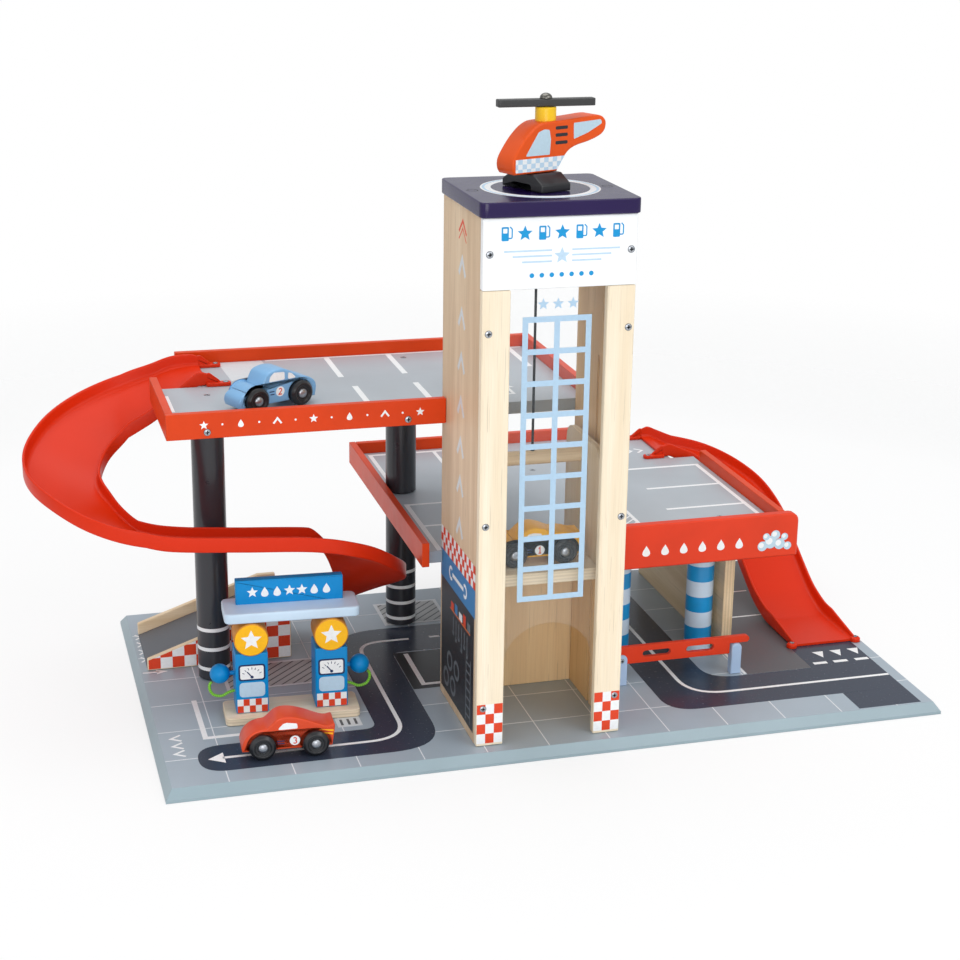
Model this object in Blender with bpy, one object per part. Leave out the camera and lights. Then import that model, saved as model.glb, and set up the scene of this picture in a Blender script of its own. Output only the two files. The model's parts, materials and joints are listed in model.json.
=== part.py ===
"""Wooden toy service station: a printed base board, a lift tower, two parking decks,
two slides, a ramp, a car wash, a barrier, a pump island, a helicopter and three cars.

Lengths are in metres and +Z is up. The model's origin is the centre of the base board's
underside. Pieces are placed from the front left corner of the board's top face, which the
empty "station_frame" stands on: X runs right, Y runs back and Z runs up from there.
"""

import math

import bmesh
import bpy
import numpy as np
from mathutils import Matrix, Vector

# Clearances between pieces
SEAT_GAP = 0.0003
RUNNING_GAP = 0.0004
SLIDING_GAP = 0.0012

# Base board
BOARD_WIDTH = 0.6000
BOARD_DEPTH = 0.3313
BOARD_THICKNESS = 0.0092
BOARD_CHAMFER_OUT = 0.0050
BOARD_LIP = 0.0022

# Lift tower
TOWER_LEFT = 0.2264
TOWER_FRONT = 0.0102
TOWER_WIDTH = 0.1126
TOWER_DEPTH = 0.1065
TOWER_HEIGHT = 0.3973
PANEL_THICKNESS = 0.0062
POST_WIDTH = 0.0207
POST_THICKNESS = 0.0062
HEADER_HEIGHT = 0.0506
BACK_PANEL_THICKNESS = 0.0062
GROOVE_WIDTH = 0.0046
GROOVE_DEPTH = 0.0030
ROOF_OVERHANG = 0.0023
ROOF_THICKNESS = 0.0108
ROOF_CORNER_RADIUS = 0.0050

# Clear window sheet behind the front posts
WINDOW_THICKNESS = 0.0018
WINDOW_ARCH_HALF_WIDTH = 0.0343
WINDOW_ARCH_SPRING = 0.0620
WINDOW_ARCH_RISE = 0.0300

# Lift car
LIFT_FLOOR_HEIGHT = 0.1295
LIFT_FLOOR_THICKNESS = 0.0092
LIFT_FRONT = 0.0240
LIFT_DEPTH = 0.0840
LIFT_SIDE_THICKNESS = 0.0045
LIFT_SIDE_HEIGHT = 0.0895
LIFT_SIDE_SETBACK = 0.0060
LIFT_SIDE_CORNER = 0.0120
LIFT_INNER_WIDTH = 0.0816
LIFT_RISE = 0.1050
CROSSBAR_RADIUS = 0.0054
CROSSBAR_ABOVE_FLOOR = 0.0764
CROSSBAR_BEHIND_FRONT = 0.0415
RUNNER_HEIGHT = 0.0460

# Winder and its cord
CORD_RADIUS = 0.0010
DRUM_RADIUS = 0.0080
DRUM_FLANGE_RADIUS = 0.0120
DRUM_FLANGE = 0.0020
DRUM_LENGTH = 0.0180
SHAFT_RADIUS = 0.0030
WINDER_BELOW_TOP = 0.0240
KNOB_RADIUS = 0.0125
KNOB_LENGTH = 0.0110
KNOB_STANDOFF = 0.0020

# Upper deck
DECK_THICKNESS = 0.0095
RAIL_THICKNESS = 0.0058
RAIL_HEIGHT = 0.0195
UPPER_DECK_UNDERSIDE = 0.2250
UPPER_DECK_LEFT = 0.0165
UPPER_DECK_RIGHT = 0.3470
UPPER_DECK_FRONT = 0.1042
UPPER_DECK_BACK = 0.2900
UPPER_MOUTH_EDGE = 0.0560
UPPER_BACK_RAIL_LEFT = 0.0448

# Lower deck
LOWER_DECK_UNDERSIDE = 0.1100
LOWER_DECK_LEFT = 0.2080
LOWER_DECK_RIGHT = 0.5143
LOWER_DECK_FRONT = 0.1040
LOWER_DECK_BACK = 0.3780
LOWER_MOUTH_EDGE = 0.4860
LOWER_BACK_RAIL_RIGHT = 0.4742
WASH_SIGN_THICKNESS = 0.0080
WASH_SIGN_DROP = 0.0172
WASH_SIGN_OVERHANG = 0.0092
WASH_SIGN_CHAMFER = 0.0040
WASH_SIGN_CORNER = 0.0070

# Columns
COLUMN_RADIUS = 0.0128
FRONT_COLUMN = (0.0568, 0.1879)
REAR_COLUMN = (0.2289, 0.2641)

# Slides: moulded channels
CHANNEL_HALF_WIDTH = 0.0290
CHANNEL_WALL = 0.0022
CHANNEL_FLOOR = 0.0020
CHANNEL_WALL_HEIGHT = 0.0100
CHANNEL_LOW_WALL = 0.0030
LEFT_TURN_RADIUS = 0.0535
TURN_RADIUS = 0.0550
MOUTH_OVERLAP = 0.0060
EAR_LENGTH = 0.0180
EAR_WIDTH = 0.0075
EAR_THICKNESS = 0.0030
EAR_OUTSIDE = 0.0040
LEFT_LOOP_CENTRE_Y = 0.1895
LEFT_TURN_X = -0.0010
RIGHT_TURN_X = 0.1311
RIGHT_SLIDE_X = 0.5653
RIGHT_SLIDE_MOUTH_Y = 0.3300
RIGHT_SLIDE_TOE_Y = 0.1270

# Share of a slide's fall that is done at each share of its path
LEFT_SLIDE_FALL = (
    (0.00, 0.000), (0.0145, 0.000), (0.039, 0.004), (0.072, 0.033), (0.101, 0.055), (0.145, 0.107), (0.193, 0.175),
    (0.230, 0.233), (0.276, 0.287), (0.332, 0.341), (0.375, 0.404), (0.412, 0.450), (0.457, 0.486),
    (0.553, 0.511), (0.665, 0.538), (0.709, 0.591), (0.766, 0.724), (0.825, 0.850), (0.900, 0.980),
    (0.946, 1.000), (1.00, 1.000),
)
RIGHT_SLIDE_FALL = (
    (0.00, 0.000), (0.023, 0.000), (0.053, 0.030), (0.109, 0.085), (0.196, 0.160), (0.326, 0.340), (0.435, 0.560),
    (0.587, 0.800), (0.706, 0.945), (0.804, 0.995), (1.00, 1.000),
)
# How far the left slide's inner side lies below its outer side at each share of its path
LEFT_SLIDE_LEAN = (
    (0.00, 0.0000), (0.0145, 0.0000), (0.037, 0.0105), (0.085, 0.0215), (0.112, 0.0255), (0.141, 0.0260),
    (0.206, 0.0200), (0.276, 0.0125), (0.350, 0.0100), (0.395, 0.0092), (0.496, 0.0115), (0.632, 0.0116),
    (0.709, 0.0105), (0.814, 0.0035), (0.900, 0.0000), (1.00, 0.0000),
)
# Share of the walls' height at each distance from the mouth
MOUTH_RISE = ((0.000, 0.50), (0.006, 0.80), (0.030, 1.00), (1.000, 1.00))

# Ramp
RAMP_LEFT = 0.0056
RAMP_RIGHT = 0.1231
RAMP_TOP_FLAT = 0.0150
RAMP_HEIGHT = 0.0356
RAMP_BED_THICKNESS = 0.0030
RAMP_FRONT = 0.2084
RAMP_BACK = 0.2897
GUARD_THICKNESS = 0.0046
GUARD_ABOVE_BED = 0.0098

# Car wash
WASH_WALL_LEFT = 0.4710
WASH_WALL_THICKNESS = 0.0088
WASH_WALL_FRONT = 0.1270
WASH_WALL_BACK = 0.3250
ROLLER_RADIUS = 0.0113
ROLLER_Y = 0.1450
ROLLER_XS = (0.3834, 0.4570)
ROLLER_PIN_RADIUS = 0.0025
ROLLER_PIN_LENGTH = 0.0040

# Barrier
BARRIER_POST_XS = (0.3690, 0.4680)
BARRIER_POST_FRONT = 0.0875
BARRIER_POST_WIDTH = 0.0088
BARRIER_POST_DEPTH = 0.0076
BARRIER_POST_HEIGHT = 0.0265
BARRIER_ARM_THICKNESS = 0.0036
BARRIER_ARM_HEIGHT = 0.0146
BARRIER_ARM_BOTTOM = 0.0180
BARRIER_PIVOT_ABOVE_BOTTOM = 0.0038
BARRIER_TAIL = 0.0170
BARRIER_PIN_RADIUS = 0.0015
BARRIER_HOLE_LENGTH = 0.0240
BARRIER_HOLE_HEIGHT = 0.0054
BARRIER_HOLES_FROM_PIVOT = (0.0300, 0.0675)

# Pump island
ISLAND_CENTRE = (0.1042, 0.1034)
ISLAND_TURN = math.radians(-3.5)
ISLAND_WIDTH = 0.1030
ISLAND_DEPTH = 0.0350
ISLAND_THICKNESS = 0.0060
ISLAND_CORNER = 0.0040
PUMP_WIDTH = 0.0248
PUMP_DEPTH = 0.0260
PUMP_HEIGHT = 0.0490
PUMP_SPACING = 0.0608
PUMP_FRONT = -0.0091
DISC_RADIUS = 0.0132
DISC_DEPTH = 0.0220
DISC_SINK = 0.0020
DISC_PROUD = 0.0010
CANOPY_LENGTH = 0.1030
CANOPY_DEPTH = 0.0350
CANOPY_THICKNESS = 0.0080
CANOPY_CORNER = 0.0050
CANOPY_SHIFT_X = 0.0015
SIGN_LENGTH = 0.0820
SIGN_HEIGHT = 0.0192
SIGN_THICKNESS = 0.0080
SIGN_BEHIND_CANOPY_FRONT = 0.0195
SIGN_SHIFT_X = 0.0013

# Pump nozzles and hoses
NOZZLE_RADIUS = 0.0076
NOZZLE_PIN_RADIUS = 0.0017
NOZZLE_STANDOFF = 0.0034
NOZZLE_PIN_DEPTH = 0.0060
NOZZLE_Y = 0.0040
NOZZLE_Z = 0.0350
HOSE_RADIUS = 0.0011
HOSE_Z = 0.0200
HOSE_TAIL = 0.0070

# Helicopter
HELICOPTER_X = 0.2863
HELICOPTER_Y = 0.0638
HELICOPTER_TURN = math.radians(22.0)
HELICOPTER_THICKNESS = 0.0190
SKID_WIDTH = 0.0450
SKID_TOP_WIDTH = 0.0240
SKID_LENGTH = 0.0265
SKID_HEIGHT = 0.0118
SKID_CENTRE = -0.0072
SKID_SLOT_WIDTH = 0.0190
SKID_SLOT_HEIGHT = 0.0036
MAST_RADIUS = 0.0067
MAST_HEIGHT = 0.0080
MAST_SINK = 0.0030
ROTOR_PIN_RADIUS = 0.0020
ROTOR_LENGTH = 0.0700
ROTOR_WIDTH = 0.0078
ROTOR_THICKNESS = 0.0053
ROTOR_TURN = math.radians(2.0)
DOME_RADIUS = 0.0039

# Cars
CAR_BODY_WIDTH = 0.0220
CAR_UNDERSIDE = 0.0062
WHEEL_RADIUS = 0.0097
WHEEL_THICKNESS = 0.0068
WHEEL_ARCH_RADIUS = 0.0104
WHEEL_ARCH_DEPTH = 0.0030
AXLE_RADIUS = 0.0015
FRONT_AXLE = 0.0152
WHEELBASE = 0.0391


# Side outlines, as distance from the nose and height, run round each wooden body.
# Those of the cars are counted from the road and that of the helicopter from its belly.
RED_CAR_OUTLINE = (
    (0.0005, CAR_UNDERSIDE), (0.0000, 0.0090), (0.0015, 0.0140), (0.0042, 0.0180), (0.0085, 0.0212),
    (0.0135, 0.0229), (0.0180, 0.0236), (0.0212, 0.0260), (0.0254, 0.0298), (0.0297, 0.0314),
    (0.0345, 0.0316), (0.0400, 0.0307), (0.0470, 0.0285), (0.0540, 0.0255), (0.0600, 0.0231),
    (0.0640, 0.0224), (0.0684, 0.0230), (0.0684, 0.0180), (0.0666, CAR_UNDERSIDE),
)
BLUE_CAR_OUTLINE = (
    (0.0010, CAR_UNDERSIDE - 0.0012), (0.0000, 0.0085), (0.0010, 0.0124), (0.0040, 0.0150), (0.0090, 0.0169),
    (0.0145, 0.0182), (0.0195, 0.0193), (0.0222, 0.0240), (0.0250, 0.0281), (0.0300, 0.0300),
    (0.0360, 0.0305), (0.0420, 0.0295), (0.0480, 0.0265), (0.0545, 0.0228), (0.0600, 0.0215),
    (0.0645, 0.0195), (0.0680, 0.0165), (0.0692, 0.0120), (0.0680, CAR_UNDERSIDE - 0.0012),
)
YELLOW_CAR_OUTLINE = (
    (0.0005, CAR_UNDERSIDE), (0.0000, 0.0085), (0.0012, 0.0122), (0.0045, 0.0158), (0.0095, 0.0184),
    (0.0145, 0.0198), (0.0190, 0.0232), (0.0230, 0.0268), (0.0275, 0.0287), (0.0330, 0.0290),
    (0.0390, 0.0274), (0.0440, 0.0252), (0.0480, 0.0240), (0.0520, 0.0242), (0.0570, 0.0235),
    (0.0625, 0.0218), (0.0670, 0.0215), (0.0684, 0.0205), (0.0672, CAR_UNDERSIDE),
)
HELICOPTER_OUTLINE = (
    (0.0022, 0.0000), (0.0005, 0.0031), (0.0000, 0.0076), (0.0012, 0.0121), (0.0050, 0.0184),
    (0.0090, 0.0233), (0.0134, 0.0277), (0.0180, 0.0313), (0.0233, 0.0340), (0.0290, 0.0350),
    (0.0450, 0.0354), (0.0600, 0.0359), (0.0728, 0.0362), (0.0775, 0.0353), (0.0808, 0.0327),
    (0.0818, 0.0295), (0.0806, 0.0252), (0.0765, 0.0220), (0.0680, 0.0192), (0.0580, 0.0170),
    (0.0515, 0.0145), (0.0470, 0.0107), (0.0432, 0.0054), (0.0396, 0.0000),
)
HELICOPTER_MAST_FROM_NOSE = 0.0357

# Where each car stands: axle mid-point, turn about Z and the height of what it stands on
RED_CAR_PLACE = (0.0900, 0.0395)
RED_CAR_TURN = math.radians(-3.0)
BLUE_CAR_PLACE = (0.1003, 0.1470)
BLUE_CAR_TURN = math.radians(24.0)
YELLOW_CAR_FROM_TOWER_CENTRE = (-0.0010, 0.0500)

# Counts
ROUND_SIDES = 32
SMALL_SIDES = 16
CORNER_STEPS = 4
CHANNEL_STEPS = 72
CORD_STEPS = 10

LIFT_CORD_LOW_END = CROSSBAR_RADIUS + SEAT_GAP


def clear_scene():
    """Remove every object that the scene starts with."""
    for item in list(bpy.data.objects):
        bpy.data.objects.remove(item, do_unlink=True)


def finish(name, red, green, blue, roughness=0.45, metallic=0.0, alpha=1.0):
    """Return a Principled material of one colour."""
    material = bpy.data.materials.new(name)
    material.use_nodes = True
    shader = material.node_tree.nodes["Principled BSDF"]
    shader.inputs["Base Color"].default_value = (red, green, blue, 1.0)
    shader.inputs["Roughness"].default_value = roughness
    shader.inputs["Metallic"].default_value = metallic
    shader.inputs["Alpha"].default_value = alpha
    material.diffuse_color = (red, green, blue, alpha)
    material.roughness = roughness
    material.metallic = metallic
    return material


def make_finishes():
    """Return the object's finishes by name."""
    return {
        "board": finish("board_grey", 0.33, 0.37, 0.41),
        "deck": finish("deck_grey", 0.38, 0.42, 0.45),
        "wood": finish("bare_wood", 0.82, 0.64, 0.42, 0.55),
        "ply": finish("birch_plywood", 0.85, 0.72, 0.54, 0.60),
        "white": finish("white_paint", 0.90, 0.90, 0.90),
        "aubergine": finish("aubergine_paint", 0.035, 0.015, 0.075, 0.30),
        "clear": finish("clear_sheet", 0.75, 0.86, 0.92, 0.08, alpha=0.35),
        "red": finish("orange_red_paint", 0.72, 0.07, 0.018, 0.38),
        "moulded_red": finish("orange_red_moulding", 0.72, 0.06, 0.015, 0.30),
        "black": finish("black_paint", 0.012, 0.013, 0.016, 0.35),
        "cord": finish("black_cord", 0.010, 0.010, 0.010, 0.80),
        "blue": finish("mid_blue_paint", 0.010, 0.170, 0.480, 0.38),
        "pale_blue": finish("pale_blue_paint", 0.47, 0.62, 0.83, 0.42),
        "sky_blue": finish("sky_blue_paint", 0.17, 0.42, 0.72, 0.38),
        "yellow": finish("yellow_paint", 0.90, 0.45, 0.01, 0.38),
        "green": finish("green_rubber", 0.25, 0.58, 0.08, 0.50),
        "tyre": finish("black_tyre", 0.010, 0.010, 0.011, 0.45),
    }


def empty(name, parent=None, place=(0.0, 0.0, 0.0), turn=0.0):
    """Return an empty that carries other pieces, turned about Z."""
    holder = bpy.data.objects.new(name, None)
    bpy.context.scene.collection.objects.link(holder)
    holder.parent = parent
    holder.location = place
    holder.rotation_euler = (0.0, 0.0, turn)
    return holder


def piece(name, mesh, material, parent, place=(0.0, 0.0, 0.0), turn=0.0, smooth=False):
    """Link a mesh into the scene as one named piece."""
    mesh.name = name
    if smooth:
        mesh.shade_smooth()
        mesh.set_sharp_from_angle(angle=math.radians(35.0))
    mesh.materials.append(material)
    made = bpy.data.objects.new(name, mesh)
    bpy.context.scene.collection.objects.link(made)
    made.parent = parent
    made.location = place
    made.rotation_euler = (0.0, 0.0, turn)
    return made


def mesh_from(vertices, faces):
    """Return a closed mesh whose faces all point out."""
    mesh = bpy.data.meshes.new("piece")
    mesh.from_pydata([tuple(v) for v in vertices], [], [tuple(f) for f in faces])
    work = bmesh.new()
    work.from_mesh(mesh)
    bmesh.ops.recalc_face_normals(work, faces=work.faces)
    work.to_mesh(mesh)
    work.free()
    mesh.update()
    return mesh


def prism(outline, low, high, axis="z"):
    """Extrude a closed outline along an axis from low to high.

    The outline's two numbers are X and Y along z, X and Z along y, and Y and Z along x.
    """
    count = len(outline)
    order = {"z": lambda a, b, c: (a, b, c), "y": lambda a, b, c: (a, c, b),
             "x": lambda a, b, c: (c, a, b)}[axis]
    vertices = [order(a, b, low) for a, b in outline] + [order(a, b, high) for a, b in outline]
    faces = [tuple(range(count)), tuple(range(2 * count - 1, count - 1, -1))]
    for i in range(count):
        j = (i + 1) % count
        faces.append((i, j, count + j, count + i))
    return mesh_from(vertices, faces)


def block(low, high):
    """Return a box between two corners."""
    outline = ((low[0], low[1]), (high[0], low[1]), (high[0], high[1]), (low[0], high[1]))
    return prism(outline, low[2], high[2])


def rounded_outline(low_a, low_b, high_a, high_b, radii):
    """Return a rectangle whose corners are arcs, from the low corner round to the left.

    radii gives the radius at low-low, high-low, high-high and low-high; zero stays sharp.
    """
    corners = (
        (low_a, low_b, 1, 1, 180.0), (high_a, low_b, -1, 1, 270.0),
        (high_a, high_b, -1, -1, 0.0), (low_a, high_b, 1, -1, 90.0),
    )
    outline = []
    for (a, b, to_a, to_b, start), radius in zip(corners, radii):
        if radius <= 0.0:
            outline.append((a, b))
            continue
        for step in range(CORNER_STEPS + 1):
            angle = math.radians(start + 90.0 * step / CORNER_STEPS)
            outline.append((a + to_a * radius + radius * math.cos(angle),
                            b + to_b * radius + radius * math.sin(angle)))
    return outline


def turned(profile, axis="z", sides=ROUND_SIDES):
    """Turn a profile of (radius, distance along the axis) pairs into a closed round solid."""
    order = {"z": lambda a, b, c: (a, b, c), "y": lambda a, b, c: (a, c, b),
             "x": lambda a, b, c: (c, a, b)}[axis]
    vertices = []
    rings = []
    for radius, along in profile:
        if radius <= 0.0:
            vertices.append(order(0.0, 0.0, along))
            rings.append([len(vertices) - 1])
            continue
        ring = []
        for side in range(sides):
            angle = 2.0 * math.pi * side / sides
            vertices.append(order(radius * math.cos(angle), radius * math.sin(angle), along))
            ring.append(len(vertices) - 1)
        rings.append(ring)
    faces = []
    for lower, upper in zip(rings, rings[1:]):
        for side in range(sides):
            after = (side + 1) % sides
            if len(lower) == 1:
                faces.append((lower[0], upper[side], upper[after]))
            elif len(upper) == 1:
                faces.append((lower[side], lower[after], upper[0]))
            else:
                faces.append((lower[side], lower[after], upper[after], upper[side]))
    if len(rings[0]) > 1:
        faces.append(tuple(rings[0]))
    if len(rings[-1]) > 1:
        faces.append(tuple(reversed(rings[-1])))
    return mesh_from(vertices, faces)


def boolean(target, mesh, operation, place=(0.0, 0.0, 0.0)):
    """Cut a mesh out of a piece, or join it on, in the piece's own frame."""
    tool = bpy.data.objects.new(target.name + "_tool", mesh)
    bpy.context.scene.collection.objects.link(tool)
    tool.parent = target
    tool.location = place
    tool.hide_render = True
    tool.display_type = "WIRE"
    step = target.modifiers.new(operation.lower(), "BOOLEAN")
    step.operation = operation
    step.solver = "EXACT"
    step.object = tool
    return tool


def chamfer(target, width, segments=1):
    """Break a piece's sharp edges."""
    step = target.modifiers.new("edges", "BEVEL")
    step.width = width
    step.segments = segments
    step.limit_method = "ANGLE"
    step.angle_limit = math.radians(40.0)
    return step


def tube(name, points, radius, material, parent):
    """Return a round cord along points, as a curve with filled ends."""
    curve = bpy.data.curves.new(name, "CURVE")
    curve.dimensions = "3D"
    curve.bevel_depth = radius
    curve.bevel_resolution = 2
    curve.use_fill_caps = True
    spline = curve.splines.new("POLY")
    spline.points.add(len(points) - 1)
    for target, source in zip(spline.points, points):
        target.co = (*source, 1.0)
    curve.materials.append(material)
    made = bpy.data.objects.new(name, curve)
    bpy.context.scene.collection.objects.link(made)
    made.parent = parent
    return made


def smooth_route(points, count):
    """Read count points, evenly spaced, from a smooth curve through the route's points."""
    route = np.array(points, dtype=float)
    padded = np.vstack((2.0 * route[0] - route[1], route, 2.0 * route[-1] - route[-2]))
    fine = []
    for i in range(1, len(padded) - 2):
        before, here, there, after = padded[i - 1], padded[i], padded[i + 1], padded[i + 2]
        for t in np.linspace(0.0, 1.0, 24, endpoint=False):
            fine.append(0.5 * (2.0 * here + (there - before) * t
                               + (2.0 * before - 5.0 * here + 4.0 * there - after) * t ** 2
                               + (3.0 * here - before - 3.0 * there + after) * t ** 3))
    fine.append(route[-1])
    fine = np.array(fine)
    lengths = np.concatenate(([0.0], np.cumsum(np.linalg.norm(np.diff(fine, axis=0), axis=1))))
    wanted = np.linspace(0.0, lengths[-1], count)
    return np.stack([np.interp(wanted, lengths, fine[:, k]) for k in range(3)], axis=1)


# Heights and planes that several pieces share
UPPER_DECK_TOP = UPPER_DECK_UNDERSIDE + DECK_THICKNESS
LOWER_DECK_TOP = LOWER_DECK_UNDERSIDE + DECK_THICKNESS
TOWER_RIGHT = TOWER_LEFT + TOWER_WIDTH
TOWER_BACK = TOWER_FRONT + TOWER_DEPTH
TOWER_CENTRE_X = TOWER_LEFT + TOWER_WIDTH / 2.0
SHAFT_LEFT = TOWER_LEFT + PANEL_THICKNESS
SHAFT_RIGHT = TOWER_RIGHT - PANEL_THICKNESS
HEADER_BOTTOM = TOWER_HEIGHT - HEADER_HEIGHT
ROOF_TOP = TOWER_HEIGHT + SEAT_GAP + ROOF_THICKNESS
LIFT_GUIDE_Y = LIFT_FRONT + CROSSBAR_BEHIND_FRONT
WINDER_Z = TOWER_HEIGHT - WINDER_BELOW_TOP
WINDER_X = TOWER_CENTRE_X - DRUM_RADIUS - CORD_RADIUS - SEAT_GAP
LEFT_MOUTH_Y = LEFT_LOOP_CENTRE_Y + LEFT_TURN_RADIUS
CHANNEL_HEIGHT = CHANNEL_FLOOR + CHANNEL_WALL_HEIGHT


def build_base(frame, finishes):
    """The printed board: a slab with a sloping edge and two blind holes for roller pins."""
    out = BOARD_CHAMFER_OUT
    levels = (
        (out, -BOARD_THICKNESS), (out, -BOARD_THICKNESS + BOARD_LIP), (0.0, 0.0),
    )
    vertices = []
    for grow, height in levels:
        vertices += [(-grow, -grow, height), (BOARD_WIDTH + grow, -grow, height),
                     (BOARD_WIDTH + grow, BOARD_DEPTH + grow, height), (-grow, BOARD_DEPTH + grow, height)]
    faces = [(0, 1, 2, 3), (11, 10, 9, 8)]
    for level in (0, 4):
        for side in range(4):
            after = (side + 1) % 4
            faces.append((level + side, level + after, level + 4 + after, level + 4 + side))
    board = piece("base_board", mesh_from(vertices, faces), finishes["board"], frame)
    hole = ROLLER_PIN_RADIUS + RUNNING_GAP
    depth = ROLLER_PIN_LENGTH + SEAT_GAP
    for x in ROLLER_XS:
        cutter = turned(((hole, -depth), (hole, depth)), sides=SMALL_SIDES)
        boolean(board, cutter, "DIFFERENCE", (x, ROLLER_Y, 0.0))


def build_tower_shell(frame, finishes):
    """Side panels with guide grooves, front posts, headers, back panel, window and roof."""
    back_of_front = TOWER_FRONT + POST_THICKNESS + SEAT_GAP
    groove_top = LIFT_FLOOR_HEIGHT + RUNNER_HEIGHT + LIFT_RISE + SLIDING_GAP
    sides = (
        ("tower_left_panel", TOWER_LEFT, SHAFT_LEFT, SHAFT_LEFT - GROOVE_DEPTH, SHAFT_LEFT + GROOVE_DEPTH),
        ("tower_right_panel", SHAFT_RIGHT, TOWER_RIGHT, SHAFT_RIGHT - GROOVE_DEPTH, SHAFT_RIGHT + GROOVE_DEPTH),
    )
    for name, low, high, groove_low, groove_high in sides:
        mesh = block((low, back_of_front, SEAT_GAP), (high, TOWER_BACK, TOWER_HEIGHT))
        panel = piece(name, mesh, finishes["wood"], frame)
        half = GROOVE_WIDTH / 2.0
        groove = rounded_outline(LIFT_GUIDE_Y - half, -GROOVE_WIDTH, LIFT_GUIDE_Y + half, groove_top,
                                 (0.0, 0.0, half * 0.98, half * 0.98))
        boolean(panel, prism(groove, groove_low, groove_high, "x"), "DIFFERENCE")

    post_top = HEADER_BOTTOM - SEAT_GAP
    front = (TOWER_FRONT, TOWER_FRONT + POST_THICKNESS)
    for name, low in (("tower_post_left", TOWER_LEFT), ("tower_post_right", TOWER_RIGHT - POST_WIDTH)):
        mesh = block((low, front[0], SEAT_GAP), (low + POST_WIDTH, front[1], post_top))
        chamfer(piece(name, mesh, finishes["wood"], frame), 0.0005)
    header = block((TOWER_LEFT, front[0], HEADER_BOTTOM), (TOWER_RIGHT, front[1], TOWER_HEIGHT))
    chamfer(piece("tower_front_header", header, finishes["white"], frame), 0.0005)

    back_low = TOWER_BACK - BACK_PANEL_THICKNESS
    inner = (SHAFT_LEFT + SEAT_GAP, SHAFT_RIGHT - SEAT_GAP)
    lower = block((inner[0], back_low, SEAT_GAP), (inner[1], TOWER_BACK, LOWER_DECK_UNDERSIDE))
    piece("tower_back_panel", lower, finishes["wood"], frame)
    upper = block((inner[0], back_low, HEADER_BOTTOM), (inner[1], TOWER_BACK, TOWER_HEIGHT))
    header = piece("tower_back_header", upper, finishes["wood"], frame)
    bore = SHAFT_RADIUS + RUNNING_GAP
    cutter = turned(((bore, -BACK_PANEL_THICKNESS), (bore, BACK_PANEL_THICKNESS)), "y", SMALL_SIDES)
    boolean(header, cutter, "DIFFERENCE", (WINDER_X, TOWER_BACK - BACK_PANEL_THICKNESS / 2.0, WINDER_Z))

    outline = [(inner[0], SEAT_GAP), (inner[0], TOWER_HEIGHT), (inner[1], TOWER_HEIGHT), (inner[1], SEAT_GAP)]
    arch_steps = 14
    outline.append((TOWER_CENTRE_X + WINDOW_ARCH_HALF_WIDTH, SEAT_GAP))
    for step in range(arch_steps + 1):
        angle = math.pi * step / arch_steps
        outline.append((TOWER_CENTRE_X + WINDOW_ARCH_HALF_WIDTH * math.cos(angle),
                        WINDOW_ARCH_SPRING + WINDOW_ARCH_RISE * math.sin(angle)))
    outline.append((TOWER_CENTRE_X - WINDOW_ARCH_HALF_WIDTH, SEAT_GAP))
    sheet = prism(outline, back_of_front, back_of_front + WINDOW_THICKNESS, "y")
    piece("lift_window", sheet, finishes["clear"], frame)

    grow = ROOF_OVERHANG
    roof = rounded_outline(TOWER_LEFT - grow, TOWER_FRONT - grow, TOWER_RIGHT + grow, TOWER_BACK + grow,
                           (ROOF_CORNER_RADIUS,) * 4)
    roof = prism(roof, TOWER_HEIGHT + SEAT_GAP, ROOF_TOP)
    chamfer(piece("tower_roof", roof, finishes["aubergine"], frame), 0.0006)


def build_lift(frame, finishes):
    """The lift car: a floor, two side plates with runners and a crossbar that the cord holds."""
    lift = empty("lift_frame", frame, (TOWER_CENTRE_X, LIFT_GUIDE_Y, LIFT_FLOOR_HEIGHT))
    front = -CROSSBAR_BEHIND_FRONT
    half_shaft = (SHAFT_RIGHT - SHAFT_LEFT) / 2.0
    half_floor = half_shaft - SLIDING_GAP
    floor = block((-half_floor, front, -LIFT_FLOOR_THICKNESS), (half_floor, front + LIFT_DEPTH, 0.0))
    chamfer(piece("lift_floor", floor, finishes["ply"], lift), 0.0005)

    inner = LIFT_INNER_WIDTH / 2.0
    outer = inner + LIFT_SIDE_THICKNESS
    half_runner = GROOVE_WIDTH / 2.0 - RUNNING_GAP
    runner_reach = half_shaft + GROOVE_DEPTH - RUNNING_GAP
    outline = rounded_outline(front + LIFT_SIDE_SETBACK, SEAT_GAP, front + LIFT_DEPTH - SEAT_GAP,
                              LIFT_SIDE_HEIGHT, (0.0, 0.0, LIFT_SIDE_CORNER, LIFT_SIDE_CORNER))
    for name, side in (("lift_side_left", -1.0), ("lift_side_right", 1.0)):
        low, high = sorted((side * inner, side * outer))
        plate = piece(name, prism(outline, low, high, "x"), finishes["ply"], lift)
        low, high = sorted((side * (outer - LIFT_SIDE_THICKNESS / 2.0), side * runner_reach))
        runner = block((low, -half_runner, LIFT_SIDE_THICKNESS), (high, half_runner, RUNNER_HEIGHT))
        boolean(plate, runner, "UNION")

    bar = turned(((CROSSBAR_RADIUS, -inner + SEAT_GAP), (CROSSBAR_RADIUS, inner - SEAT_GAP)), "x", 24)
    piece("lift_crossbar", bar, finishes["wood"], lift, (0.0, 0.0, CROSSBAR_ABOVE_FLOOR), smooth=True)


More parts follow.
